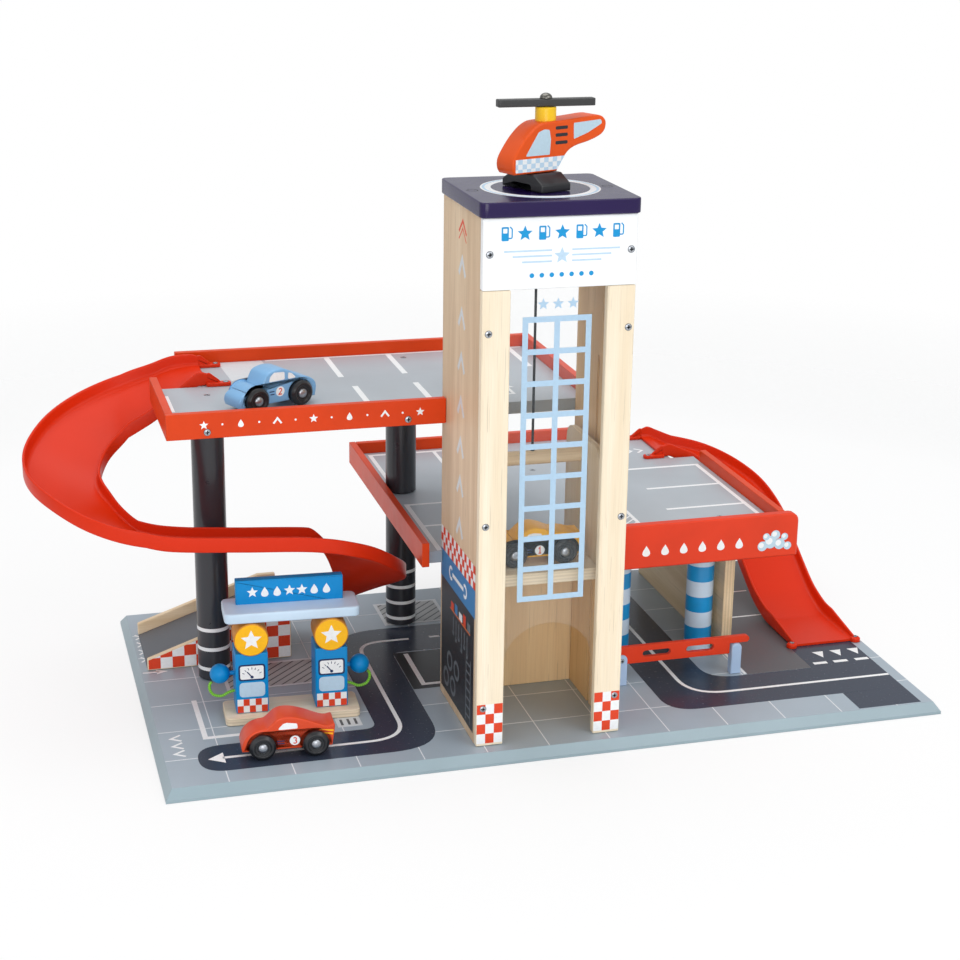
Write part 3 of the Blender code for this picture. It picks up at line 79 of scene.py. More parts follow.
Socket = bpy.types.NodeSocket
Colour = tuple[int, int, int]
Tone = tuple[float, float, float, float]
Pair = tuple[float, float]
Pairs = tuple[Pair, ...]
Rows = Sequence[Sequence[float]]

MM = 0.001
# Ink: where a film starts inside its face, the height of its lowest coat and of each further one, in mm.
FILM_SINK, FILM_BASE, FILM_STEP = -0.04, 0.03, 0.035
# The width of a hatch's bars in mm, and the thickness of two plies in metres.
BAR_WIDTH, PLY = 1.8, 0.0026
BOARD_CORNER = np.array([-0.3, -0.16565, 0.0092])


# --------------------------------------------------------------------------- places and sides


class Axis(Enum):
    """A direction along which a piece is turned, drawn out or grained."""

    X = 0
    Y = 1
    Z = 2


class Side(Enum):
    """The way a printed face looks."""

    TOP = "top"
    FRONT = "front"
    BACK = "back"
    LEFT = "left"
    RIGHT = "right"


@dataclass(frozen=True)
class Place:
    """Where something stands, in millimetres from the board's corner, and its turn about Z."""

    x: float = 0.0
    y: float = 0.0
    z: float = 0.0
    turn: float = 0.0

    def row(self, points: np.ndarray) -> np.ndarray:
        """Turn and shift millimetre points into the row's frame.

        Args:
            points: rows of X, Y, Z in millimetres, in this place's own frame.

        Returns:
            The same points in metres in the row's frame.
        """
        angle = math.radians(self.turn)
        cos, sin = math.cos(angle), math.sin(angle)
        spun = points @ np.array([[cos, sin, 0.0], [-sin, cos, 0.0], [0.0, 0.0, 1.0]])
        return (spun + (self.x, self.y, self.z)) * MM + BOARD_CORNER


# --------------------------------------------------------------------------- shapes


@dataclass
class Shape:
    """A closed surface in millimetres: its points, and its faces as rows of point numbers."""

    points: np.ndarray
    faces: list[np.ndarray]
    along: np.ndarray | None = None

    def outward(self) -> "Shape":
        """Return the shape with its faces pointing out, found from the sign of its volume."""
        volume = 0.0
        for group in self.faces:
            corner = self.points[group]
            first = corner[:, :1]
            fan = np.cross(corner[:, 1:-1] - first, corner[:, 2:] - first)
            volume += float((fan * first).sum())
        if volume < 0.0:
            return Shape(self.points, [group[:, ::-1] for group in self.faces], self.along)
        return self

    def moved(self, x: float = 0.0, y: float = 0.0, z: float = 0.0) -> "Shape":
        """Return the shape shifted by millimetres."""
        return Shape(self.points + np.array([x, y, z]), self.faces, self.along)

    def mirrored(self) -> "Shape":
        """Return the shape as seen in a mirror across Y."""
        return Shape(self.points * np.array((1, -1, 1)), self.faces).outward()


def unit(vectors: np.ndarray) -> np.ndarray:
    """Return vectors made one long."""
    return vectors / np.maximum(np.linalg.norm(vectors, axis=-1, keepdims=True), 1e-9)


def left_of(ways: np.ndarray) -> np.ndarray:
    """Return flat vectors turned a quarter to the left."""
    return np.stack([-ways[:, 1], ways[:, 0]], axis=1)


def distance(path: np.ndarray) -> np.ndarray:
    """Return how far down a path each of its points lies."""
    return np.concatenate(([0.0], np.cumsum(np.linalg.norm(np.diff(path, axis=0), axis=1))))


def around(sides: int) -> np.ndarray:
    """Return evenly spaced angles once round."""
    return np.linspace(0.0, 2.0 * np.pi, sides, endpoint=False)


def join(shapes: Sequence[Shape]) -> Shape:
    """Put several closed shapes into one.

    Args:
        shapes: the shapes, each closed by itself.

    Returns:
        One shape that holds them all.
    """
    points, faces, marks, start = [], [], [], 0
    for shape in shapes:
        points.append(shape.points)
        faces += [group + start for group in shape.faces]
        marks.append(np.zeros(len(shape.points)) if shape.along is None else shape.along)
        start += len(shape.points)
    marked = any(shape.along is not None for shape in shapes)
    return Shape(np.vstack(points), faces, np.concatenate(marks) if marked else None)


def swapped(points: np.ndarray, axis: Axis) -> np.ndarray:
    """Turn points whose own axis is Z so that it lies along another axis, keeping their hand."""
    return np.roll(points, axis.value + 1, axis=1)


def closed_grid(grid: np.ndarray, wrap_rows: bool = False) -> Shape:
    """Close a grid of points whose columns run round.

    The surface is a function of two parameters: the row, along the piece, and the column,
    round it. Its two ends are closed with flat faces unless the rows run round as well.

    Args:
        grid: points as rows, columns, 3.
        wrap_rows: whether the last row joins the first.

    Returns:
        The closed shape, facing outwards.
    """
    rows, columns = grid.shape[:2]
    numbers = np.arange(rows * columns).reshape(rows, columns)
    after_row = np.roll(numbers, -1, axis=0)
    here = numbers if wrap_rows else numbers[:-1]
    there = after_row if wrap_rows else after_row[:-1]
    quads = np.stack([here, np.roll(here, -1, axis=1), np.roll(there, -1, axis=1), there], axis=-1)
    faces = [quads.reshape(-1, 4)]
    if not wrap_rows:
        faces += [numbers[0][::-1][None, :], numbers[-1][None, :]]
    return Shape(grid.reshape(-1, 3), faces).outward()


def lathe(profile: np.ndarray, axis: Axis = Axis.Z, sides: int = 72, ring: bool = False) -> Shape:
    """Turn a profile round an axis: each point is (radius cos a, radius sin a, height).

    Args:
        profile: rows of radius and height; a radius of zero is opened to a hair's width.
        axis: the axis it turns round.
        sides: how many steps go round.
        ring: whether the profile is a closed loop, as a band's is.

    Returns:
        The turned shape.
    """
    angle = around(sides)
    radius = np.maximum(profile[:, :1], 0.02)
    height = np.repeat(profile[:, 1:2], sides, axis=1)
    grid = np.stack([radius * np.cos(angle), radius * np.sin(angle), height], axis=-1)
    grid = swapped(grid.reshape(-1, 3), axis).reshape(grid.shape)
    return closed_grid(grid, wrap_rows=ring)


def filleted(corners: Rows, radius: float | Sequence[float], closed: bool = True,
             steps: int = 6) -> np.ndarray:
    """Round the corners of an outline.

    Each corner C gives way to a curve (1-t)^2 A + 2t(1-t) C + t^2 B, where A and B lie on its
    two edges, as far from C as an arc of that radius would touch them.

    Args:
        corners: rows of two numbers.
        radius: one radius, or one for each corner.
        closed: whether the last corner joins the first.
        steps: how many steps each corner gets.

    Returns:
        The outline's points.
    """
    c = np.array(corners, dtype=float)
    r = np.broadcast_to(np.array(radius, dtype=float), (len(c),)).copy()
    if not closed:
        r[0] = r[-1] = 0.0
    back, ahead = np.roll(c, 1, axis=0) - c, np.roll(c, -1, axis=0) - c
    back_length = np.maximum(np.linalg.norm(back, axis=1, keepdims=True), 1e-9)
    ahead_length = np.maximum(np.linalg.norm(ahead, axis=1, keepdims=True), 1e-9)
    back, ahead = back / back_length, ahead / ahead_length
    half = np.arccos(np.clip((back * ahead).sum(axis=1), -1.0, 1.0)) / 2.0
    reach = r / np.maximum(np.tan(half), 1e-6)
    reach = np.minimum(reach, 0.498 * np.minimum(back_length, ahead_length)[:, 0])[:, None]
    reach[r == 0.0] = 0.0
    start, end = c + back * reach, c + ahead * reach
    t = np.linspace(0.0, 1.0, steps + 1)[None, :, None]
    curve = (1 - t) ** 2 * start[:, None] + 2 * t * (1 - t) * c[:, None] + t ** 2 * end[:, None]
    points = curve.reshape(-1, 2)
    keep = np.ones(len(points), dtype=bool)
    keep[1:] = np.linalg.norm(np.diff(points, axis=0), axis=1) > 1e-6
    return points[keep]


def smoothed(corners: Rows, count: int) -> np.ndarray:
    """Read evenly spaced points from a smooth curve through given ones.

    The curve is the sum of four neighbouring points with Catmull and Rom's cubic weights.

    Args:
        corners: rows of two or three numbers.
        count: how many points to return.

    Returns:
        The curve's points.
    """
    c = np.array(corners, dtype=float)
    padded = np.vstack((2 * c[0] - c[1], c, 2 * c[-1] - c[-2]))
    t = np.linspace(0.0, 1.0, 20, endpoint=False)[None, :, None]
    a, b, d, e = (padded[i:len(padded) - 3 + i, None] for i in range(4))
    curve = 0.5 * (2 * b + (d - a) * t + (2 * a - 5 * b + 4 * d - e) * t ** 2
                   + (3 * b - a - 3 * d + e) * t ** 3)
    fine = np.vstack((curve.reshape(-1, c.shape[1]), c[-1:]))
    run = distance(fine)
    wanted = np.linspace(0.0, run[-1], count)
    return np.stack([np.interp(wanted, run, fine[:, k]) for k in range(c.shape[1])], axis=1)


def rectangle(left: float, low: float, right: float, high: float) -> np.ndarray:
    """Return a rectangle's four corners."""
    return np.array([(left, low), (right, low), (right, high), (left, high)], dtype=float)


def rounded_rectangle(left: float, low: float, right: float, high: float, radius: float) -> np.ndarray:
    """Return a rectangle with rounded corners."""
    return filleted(rectangle(left, low, right, high), radius)


def disc(centre: Sequence[float], radius: float, sides: int = 48) -> np.ndarray:
    """Return a circle's points."""
    angle = around(sides)
    return np.stack([centre[0] + radius * np.cos(angle), centre[1] + radius * np.sin(angle)], axis=1)


def star(centre: Sequence[float], radius: float, points: int = 5, waist: float = 0.45) -> np.ndarray:
    """Return a star's corners, whose radius steps between the tips and the waist."""
    angle = np.pi / 2 + np.arange(2 * points) * np.pi / points
    reach = np.where(np.arange(2 * points) % 2 == 0, radius, radius * waist)
    return np.stack([centre[0] + reach * np.cos(angle), centre[1] + reach * np.sin(angle)], axis=1)


def clipped(outline: np.ndarray, limits: Rows) -> np.ndarray:
    """Cut an outline with straight lines and keep where a*x + b*y is at most each limit."""
    for a, b, limit in limits:
        if len(outline) < 3:
            break
        reach = outline @ np.array([a, b]) - limit
        following, next_reach = np.roll(outline, -1, axis=0), np.roll(reach, -1)
        crossing = (reach > 0) != (next_reach > 0)
        share = np.where(crossing, reach / np.where(crossing, reach - next_reach, 1.0), 0.0)[:, None]
        both = np.stack([outline, outline + (following - outline) * share], axis=1).reshape(-1, 2)
        outline = both[np.stack([reach <= 0, crossing], axis=1).reshape(-1)]
    return outline


def inset(outline: np.ndarray, depth: np.ndarray) -> np.ndarray:
    """Move an outline inwards: each point goes along its corner's bisector by depth / cos(half turn).

    Args:
        outline: the closed outline, counter-clockwise.
        depth: one depth for each copy that is wanted.

    Returns:
        The copies, as copy, point, 2.
    """
    before = left_of(unit(outline - np.roll(outline, 1, axis=0)))
    after = left_of(unit(np.roll(outline, -1, axis=0) - outline))
    bisector = unit(before + after)
    stretch = 1.0 / np.maximum((bisector * after).sum(axis=1, keepdims=True), 0.5)
    return outline[None] + depth[:, None, None] * (bisector * stretch)[None]


def pillow(outline: np.ndarray, low: float, high: float, radius: float, axis: Axis = Axis.Z,
           steps: int = 5) -> Shape:
    """Draw an outline out along an axis with both rims rounded.

    Row t of the surface is the outline moved inwards by r(1 - sin t) at r(1 - cos t) from
    its end, for t from 0 to a right angle, first at the low end and then at the high one. A
    ring a little further in on each flat end keeps its shading flat.

    Args:
        outline: a closed outline. Along Z its numbers are X and Y, along Y they are X and Z,
            and along X they are Y and Z.
        low: where it starts along the axis.
        high: where it ends.
        radius: the rims' radius; zero leaves them sharp.
        axis: the axis it is drawn along.
        steps: how many steps each rim gets.

    Returns:
        The closed shape.
    """
    area = 0.5 * float(np.sum(outline[:, 0] * np.roll(outline[:, 1], -1)
                              - np.roll(outline[:, 0], -1) * outline[:, 1]))
    outline = outline if area > 0 else outline[::-1]
    turn = np.linspace(0.0, np.pi / 2, steps + 1) if radius > 0 else np.array([np.pi / 2])
    depth = radius * (1.0 - np.sin(turn))
    rise = radius * (1.0 - np.cos(turn))
    depth = np.concatenate(([1.2 * radius], depth, depth[::-1], [1.2 * radius]))
    level = np.concatenate(([low], low + rise, high - rise[::-1], [high]))
    if radius == 0:
        depth, level = depth[1:-1], level[1:-1]
    rings = inset(outline, depth)
    along = np.broadcast_to(level[:, None, None], rings.shape[:2] + (1,))
    order = {Axis.Z: (0, 1, 2), Axis.Y: (0, 2, 1), Axis.X: (2, 0, 1)}[axis]
    grid = np.concatenate((rings, along), axis=2)[:, :, list(order)]
    return closed_grid(grid)


def rod(path: np.ndarray, radius: float | np.ndarray, sides: int = 16) -> Shape:
    """Carry a circle along a path.

    Each ring is the path's point plus radius (cos a U + sin a V), where U and V are square to
    the path's direction, and U stays as near as it can to one fixed direction.

    Args:
        path: the path's points.
        radius: one radius, or one for each point.
        sides: how many steps go round.

    Returns:
        The closed tube. Its along is the distance of each point down the path.
    """
    ahead = unit(np.gradient(path, axis=0))
    fixed = np.eye(3)[int(np.argmin(np.abs(ahead).mean(axis=0)))]
    u = unit(fixed - (ahead @ fixed)[:, None] * ahead)
    v = np.cross(ahead, u)
    angle = around(sides)[None, :, None]
    size = np.broadcast_to(np.array(radius, dtype=float), (len(path),))[:, None, None]
    grid = path[:, None] + size * (np.cos(angle) * u[:, None] + np.sin(angle) * v[:, None])
    shape = closed_grid(grid)
    shape.along = np.repeat(distance(path), sides)
    return shape


def ball(centre: Sequence[float], radius: float, steps: int = 32) -> Shape:
    """Return a sphere, as a lathe profile radius (sin t, cos t) whose ends are a hair wide."""
    t = np.linspace(0.004, np.pi - 0.004, steps)
    return lathe(np.stack([radius * np.sin(t), -radius * np.cos(t)], axis=1), sides=48).moved(*centre)


def dowel(radius: float, low: float, high: float, rim: float, axis: Axis = Axis.Z, sides: int = 72) -> Shape:
    """Return a turned cylinder with both rims cut off slantwise."""
    profile = ((radius - rim, low), (radius, low + rim), (radius, high - rim), (radius - rim, high))
    return lathe(np.array(profile), axis, sides)


def screw_head(radius: float = 2.4, rise: float = 0.9, sink: float = 0.6) -> Shape:
    """Return a domed screw head with a cross recess, on Z with its seat at zero.

    Over the radius q and the angle a its height is rise (1 - 0.55 q^2), less a recess that
    falls smoothly where the point lies in either arm of a cross.

    Args:
        radius: the head's radius in millimetres.
        rise: its height in the middle.
        sink: how far the recess falls.

    Returns:
        The closed head.
    """
    q = np.concatenate((np.linspace(1.0, 0.0, 19)[:-1], [0.01]))
    x, y = q[:, None] * np.cos(around(72)), q[:, None] * np.sin(around(72))
    wide, thin = np.abs(x), np.abs(y)
    arm = np.maximum((wide < 0.16) * (thin < 0.60), (thin < 0.16) * (wide < 0.60))
    height = rise * (1.0 - 0.55 * q[:, None] ** 2) - sink * arm
    top = np.stack([x * radius, y * radius, height], axis=-1)
    ring = [np.stack([x[:1] * radius * reach, y[:1] * radius * reach, np.full_like(x[:1], level)], axis=-1)
            for reach, level in ((1.10, -0.05), (1.10, 0.07), (1.0, 0.08))]
    head = closed_grid(np.concatenate((*ring, top)))
    # The rim rings and the cross recess are marked for painted shade, which the steel finish draws dark.
    head.along = np.concatenate((np.ones(3 * 72), arm.ravel().astype(float)))
    return head


def faced(shape: Shape, side: Side, x: float, y: float, z: float) -> Shape:
    """Turn a shape that stands on Z to look out of a side, and move it there."""
    p = shape.points
    views = {
        Side.TOP: (p[:, 0], p[:, 1], p[:, 2]), Side.FRONT: (p[:, 0], -p[:, 2], p[:, 1]),
        Side.BACK: (-p[:, 0], p[:, 2], p[:, 1]), Side.LEFT: (-p[:, 2], -p[:, 0], p[:, 1]),
        Side.RIGHT: (p[:, 2], p[:, 0], p[:, 1]),
    }
    points = np.stack(views[side], axis=1) + np.array([x, y, z])
    return Shape(points, shape.faces, shape.along).outward()


# --------------------------------------------------------------------------- finishes


def toned(colour: Colour, factor: float = 1.0) -> Tone:
    """Return a colour, written as it looks on a screen, in the renderer's own scale times a factor."""
    red, green, blue = (v / 12.92 if v <= 0.04045 else ((v + 0.055) / 1.055) ** 2.4
                        for v in (c / 255.0 for c in colour))
    return min(red * factor, 1.0), min(green * factor, 1.0), min(blue * factor, 1.0), 1.0


class Tree:
    """Adds nodes to the tree of a material or a world."""

    def __init__(self, owner: bpy.types.Material | bpy.types.World) -> None:
        """Empty the owner's tree."""
        owner.use_nodes = True
        self.tree = owner.node_tree
        self.tree.nodes.clear()

    def give(self, target: Socket, value: object) -> None:
        """Link a socket, or set its value."""
        if isinstance(value, Socket):
            self.tree.links.new(value, target)
        else:
            target.default_value = value

    def node(self, kind: str, inputs: dict[str | int, object] | None = None,
             **settings: object) -> bpy.types.Node:
        """Add a node.

        Args:
            kind: its type, without the words that every type starts with.
            inputs: a socket or a value for some of its inputs, by name or number.
            settings: its own settings.

        Returns:
            The node.
        """
        node = self.tree.nodes.new("ShaderNode" + kind)
        for name, value in settings.items():
            setattr(node, name, value)
        for key, value in (inputs or {}).items():
            self.give(node.inputs[key], value)
        return node

    def calc(self, operation: str, first: object, second: object = 0.0, third: object = 0.0,
             clamp: bool = False) -> Socket:
        """Return a sum worked out from up to three values."""
        values = {0: first, 1: second, 2: third}
        return self.node("Math", values, operation=operation, use_clamp=clamp).outputs[0]


class Bench(Tree):
    """Lays out one material's nodes."""

    def __init__(self, name: str) -> None:
        """Start a material with one Principled shader."""
        self.material = bpy.data.materials.new(name)
        super().__init__(self.material)
        self.shader = self.node("BsdfPrincipled")
        self.output = self.node("OutputMaterial", {"Surface": self.shader.outputs["BSDF"]})
        self.coordinates = self.node("TexCoord").outputs

    def stretched(self, scale: Sequence[float] = (1, 1, 1)) -> Socket:
        """Return the piece's own coordinates, scaled."""
        return self.node("Mapping", {"Vector": self.coordinates["Object"], "Scale": scale}).outputs["Vector"]

    def noise(self, where: Socket, scale: float, detail: float = 3.0, rough: float = 0.55,
              twist: float = 0.0) -> Socket:
        """Return a noise value."""
        inputs = {"Vector": where, "Scale": scale, "Detail": detail, "Roughness": rough, "Distortion": twist}
        return self.node("TexNoise", inputs).outputs["Fac"]

    def ramp(self, value: Socket, stops: Sequence[tuple[float, Tone]]) -> Socket:
        """Return colours read off a value."""
        node = self.node("ValToRGB", {"Fac": value})
        band = node.color_ramp
        while len(band.elements) < len(stops):
            band.elements.new(0.5)
        for element, (place, colour) in zip(band.elements, stops):
            element.position = place
            element.color = colour
        return node.outputs["Color"]

    def shades(self, value: Socket, colour: Colour, *stops: Pair) -> Socket:
        """Return a colour made lighter and darker by a value: each stop is a place and a factor."""
        return self.ramp(value, [(place, toned(colour, factor)) for place, factor in stops])

    def blend(self, amount: object, first: object, second: object) -> Socket:
        """Return a mix of two colours."""
        return self.node("Mix", {0: amount, 6: first, 7: second}, data_type="RGBA").outputs[2]

    def part(self, vector: Socket, axis: Axis) -> Socket:
        """Return one of a vector's three numbers."""
        return self.node("SeparateXYZ", {0: vector}).outputs[axis.value]

    def along(self) -> Socket:
        """Return the piece's own mark: the distance down a cord, or on a screw the painted shade in its
        recess and round its rim.
        """
        return self.node("Attribute", attribute_name="along").outputs["Fac"]

    def soft_edges(self, radius: float) -> Socket:
        """Return a normal that rounds sharp edges by a radius."""
        return self.node("Bevel", {"Radius": radius}, samples=4).outputs["Normal"]

    def edge_mask(self, rounded: Socket) -> Socket:
        """Return how far a rounded normal leans away from the flat one: 0 on faces, 1 at edges."""
        flat = self.node("NewGeometry").outputs["Normal"]
        near = self.node("VectorMath", {0: rounded, 1: flat}, operation="DOT_PRODUCT").outputs["Value"]
        return self.calc("MULTIPLY", self.calc("SUBTRACT", 1.0, near), 3.5, clamp=True)

    def relief(self, height: Socket, depth: float, strength: float, normal: Socket | None = None) -> Socket:
        """Return a normal roughened by a height."""
        node = self.node("Bump", {"Distance": depth, "Strength": strength, "Height": height})
        if normal is not None:
            self.give(node.inputs["Normal"], normal)
        return node.outputs["Normal"]

    def set(self, name: str, value: object) -> None:
        """Set or link one of the shader's sockets."""
        self.give(self.shader.inputs[name], value)

    def surface(self, colour: object, roughness: object, normal: Socket | None = None) -> None:
        """Set the shader's colour, roughness and normal."""
        self.set("Base Color", colour)
        self.set("Roughness", roughness)
        if normal is not None:
            self.set("Normal", normal)

    def spread(self, value: Socket, width: float, low: float) -> Socket:
        """Return a value spread over a width above a low end."""
        return self.calc("MULTIPLY_ADD", value, width, low)

    def coat(self, weight: float, roughness: float) -> None:
        """Set the shader's clear coat."""
        self.set("Coat Weight", weight)
        self.set("Coat Roughness", roughness)


@dataclass(frozen=True)
class Finish:
    """What a surface is finished with, and the record's slot that it stands in for."""

    name: str
    slot: str = field(default="white", kw_only=True)

    def lay(self, bench: Bench) -> None:
        """Lay the finish's nodes out; each kind of finish has its own way."""
        raise NotImplementedError

    def material(self) -> bpy.types.Material:
        """Return the finish's material, made once."""
        found = bpy.data.materials.get(self.name)
        if found is None:
            bench = Bench(self.name)
            self.lay(bench)
            found = bench.material
        return found


@dataclass(frozen=True)
class Paint(Finish):
    """Sprayed satin paint on wood: faint mottling, orange peel, and lighter edges that are partly thin, worn
    paint and partly a painted highlight.
    """

    colour: Colour = (200, 200, 200)
    roughness: float = 0.36
    coat: float = 0.15
    wear_and_highlight: float = 0.35
    edge: float = 0.0007
    gloss: float = 0.40

    def lay(self, bench: Bench) -> None:
        """Mottle the colour, lighten it at the edges, partly as worn paint and partly as a painted highlight,
        and roughen it with a fine peel.
        """
        where = bench.stretched()
        cloud = bench.noise(where, 22.0, 4.0)
        body = bench.shades(cloud, self.colour, (0.30, 0.92), (0.50, 1.0), (0.72, 1.06))
        rounded = bench.soft_edges(self.edge)
        # The edges are blended towards a paler tint: partly thin, worn paint, partly a painted highlight.
        worn_and_highlit = bench.calc("MULTIPLY", bench.edge_mask(rounded), self.wear_and_highlight)
        worn_and_highlit = bench.calc("MULTIPLY", worn_and_highlit, bench.noise(where, 260.0))
        pale = tuple(int(v + (255 - v) * 0.45) for v in self.colour)
        smudge = bench.noise(where, 55.0, 5.0, 0.65)
        peel = bench.noise(where, 850.0, 2.0)
        bench.surface(bench.blend(worn_and_highlit, body, toned(pale)), bench.spread(smudge, 0.16, self.roughness - 0.08),
                      bench.relief(peel, 0.00004, 0.35, rounded))
        bench.coat(self.coat, 0.12)
        bench.set("Specular IOR Level", self.gloss)


@dataclass(frozen=True)
class Ink(Finish):
    """Screen-printed ink: a thin even film."""

    colour: Colour = (240, 240, 240)
    roughness: float = 0.42

    def lay(self, bench: Bench) -> None:
        """Give the film a fine speckle and a slightly uneven sheen."""
        where = bench.stretched()
        speckle = bench.noise(where, 420.0, 3.0, 0.7)
        bench.surface(bench.shades(speckle, self.colour, (0.25, 0.93), (0.55, 1.0), (0.85, 1.03)),
                      bench.spread(speckle, 0.08, self.roughness - 0.04),
                      bench.relief(bench.noise(where, 1500.0, 1.0), 0.00001, 0.08))
        bench.set("Specular IOR Level", 0.35)


@dataclass(frozen=True)
class Timber(Finish):
    """Bare sanded wood with long figure, fine fibres and short pores along its grain."""

    light: Colour = (246, 231, 205)
    dark: Colour = (222, 194, 155)
    grain: Axis = Axis.Z
    figure: float = 60.0
    contrast: float = 1.0
    layers: Axis | None = None

    def lay(self, bench: Bench) -> None:
        """Stretch noises along the grain for the figure, fibres and pores; add ply lines on cut edges."""
        run = self.grain.value
        long, fine, short = [1.0, 1.0, 1.0], [1.0, 1.0, 1.0], [1.0, 1.0, 1.0]
        long[run], fine[run], short[run] = 0.055, 0.018, 0.055 * 0.5
        figure = bench.noise(bench.stretched(long), self.figure, 5.0, 0.55, 0.35)
        reach = 0.16 / self.contrast
        middle = tuple((a + b) // 2 for a, b in zip(self.light, self.dark))
        colour = bench.ramp(figure, ((0.5 - reach, toned(self.dark)), (0.5, toned(middle)),
                                     (0.5 + reach, toned(self.light))))
        fibre = bench.noise(bench.stretched(fine), 1300.0, 2.0, 0.5)
        lift = bench.calc("MULTIPLY", bench.calc("SUBTRACT", fibre, 0.42, clamp=True), 0.9, clamp=True)
        colour = bench.blend(lift, colour, toned(self.dark, 0.80))
        pore = bench.calc("GREATER_THAN", bench.noise(bench.stretched(short), 900.0, 1.0), 0.69)
        colour = bench.blend(bench.calc("MULTIPLY", pore, 0.35), colour, toned(self.dark, 0.55))
        if self.layers is not None:
            colour = self.lay_layers(bench, colour)
        bench.surface(colour, bench.spread(fibre, 0.25, 0.42),
                      bench.relief(fibre, 0.00006, 0.5, bench.soft_edges(0.0005)))

    def lay_layers(self, bench: Bench, colour: Socket) -> Socket:
        """Darken every other ply where the surface looks along them."""
        across = bench.part(bench.coordinates["Object"], self.layers)
        layer = bench.calc("FRACT", bench.calc("MULTIPLY", across, 1 / PLY))
        stripe = bench.calc("GREATER_THAN", layer, 0.5)
        facing = bench.calc("ABSOLUTE", bench.part(bench.coordinates["Normal"], self.layers))
        shown = bench.calc("MULTIPLY", stripe, bench.calc("LESS_THAN", facing, 0.5))
        return bench.blend(bench.calc("MULTIPLY", shown, 0.42), colour, toned(self.dark, 0.72))


@dataclass(frozen=True)
class Moulding(Finish):
    """Glossy moulded plastic with faint flow marks."""

    colour: Colour = (214, 52, 24)
    roughness: float = 0.27

    def lay(self, bench: Bench) -> None:
        """Vary the colour along slow flow marks and the sheen by light scuffs."""
        where = bench.stretched()
        flow = bench.noise(where, 9.0, 3.0, 0.5, 1.2)
        scuff = bench.noise(where, 120.0, 3.0, 0.5)
        grain = bench.noise(where, 1100.0, 2.0)
        bench.surface(bench.shades(flow, self.colour, (0.30, 0.96), (0.55, 1.0), (0.80, 1.04)),
                      bench.spread(scuff, 0.05, self.roughness - 0.025),
                      bench.relief(grain, 0.00002, 0.12, bench.soft_edges(0.0006)))
        bench.set("Specular IOR Level", 0.18)


@dataclass(frozen=True)
class PrintedPanel(Finish):
    """A board faced with printed paper: speckled on top, with a plainer, bluer sloping edge."""

    top: Colour = (155, 161, 168)
    edge: Colour = (128, 144, 150)
    roughness: float = 0.34

    def lay(self, bench: Bench) -> None:
        """Tell the top from the edge by the normal's height, and speckle both."""
        where = bench.stretched()
        cloud = bench.noise(where, 14.0)
        top = bench.shades(cloud, self.top, (0.30, 0.94), (0.70, 1.06))
        edge = bench.shades(cloud, self.edge, (0.30, 0.95), (0.70, 1.05))
        up = bench.calc("GREATER_THAN", bench.part(bench.coordinates["Normal"], Axis.Z), 0.97)
        speck = bench.noise(where, 900.0, 2.0, 0.6)
        colour = bench.blend(up, edge, top)
        colour = bench.blend(bench.calc("MULTIPLY", speck, 0.10), colour, toned(self.top, 0.60))
        smudge = bench.noise(where, 30.0, 5.0, 0.6)
        bench.surface(colour, bench.spread(smudge, 0.14, self.roughness - 0.07),
                      bench.relief(speck, 0.00002, 0.3, bench.soft_edges(0.0006)))
        bench.coat(0.10, 0.20)


@dataclass(frozen=True)
class Steel(Finish):
    """Bright zinc-plated steel with fine turning marks."""

    colour: Colour = (176, 180, 186)
    roughness: float = 0.30

    def lay(self, bench: Bench) -> None:
        """Scratch the metal finely, dull it in places, and paint shade dark into its marked recesses and
        rims.
        """
        where = bench.stretched()
        dull = bench.noise(where, 700.0)
        bright = bench.shades(dull, self.colour, (0.3, 0.85), (0.7, 1.1))
        # Marked points, a screw's cross recess and its rim, get a dark colour: painted shade.
        bench.surface(bench.blend(bench.along(), bright, toned((34, 36, 40))),
                      bench.spread(dull, 0.25, self.roughness - 0.10),
                      bench.relief(bench.noise(where, 2500.0, 1.0), 0.00002, 0.3))
        bench.set("Metallic", 1.0)


@dataclass(frozen=True)
class ClearSheet(Finish):
    """A clear acrylic sheet."""

    def lay(self, bench: Bench) -> None:
        """Let nearly all light through, with a rougher sheen where the sheet is scuffed."""
        scuff = bench.noise(bench.stretched(), 400.0, 3.0, 0.7)
        bench.surface(toned((222, 236, 244)), bench.spread(scuff, 0.08, 0.02))
        bench.set("Alpha", 0.03)
        bench.set("IOR", 1.49)


@dataclass(frozen=True)
class Braid(Finish):
    """A thin braided or ribbed cord: ridges run round it along its own length."""

    colour: Colour = (20, 20, 22)
    pitch: float = 0.6
    roughness: float = 0.75
    depth: float = 0.00008

    def lay(self, bench: Bench) -> None:
        """Ripple the colour and the relief with the distance down the cord."""
        wave = bench.calc("SINE", bench.calc("MULTIPLY", bench.along(), 2 * math.pi / self.pitch))
        ripple = bench.spread(wave, 0.5, 0.5)
        bench.surface(bench.shades(ripple, self.colour, (0.0, 0.72), (1.0, 1.15)), self.roughness,
                      bench.relief(ripple, self.depth, 0.6))


@dataclass(frozen=True)
class Banded(Finish):
    """Paint in even bands round an upright roller."""

    first: Colour = (8, 148, 212)
    second: Colour = (206, 226, 243)
    start: float = 0.0187
    band: float = 0.0135

    def lay(self, bench: Bench) -> None:
        """Read the band from the height, and mottle both colours."""
        where = bench.stretched()
        height = bench.part(bench.coordinates["Object"], Axis.Z)
        turn = bench.calc("FRACT", bench.spread(height, 0.5 / self.band, -0.5 * self.start / self.band))
        cloud = bench.noise(where, 60.0)
        first = bench.shades(cloud, self.first, (0.3, 0.9), (0.7, 1.08))
        second = bench.shades(cloud, self.second, (0.3, 0.95), (0.7, 1.02))
        bench.surface(bench.blend(bench.calc("GREATER_THAN", turn, 0.5), first, second),
                      bench.spread(cloud, 0.2, 0.26),
                      bench.relief(bench.noise(where, 800.0, 2.0), 0.00003, 0.3))
        bench.coat(0.2, 0.12)


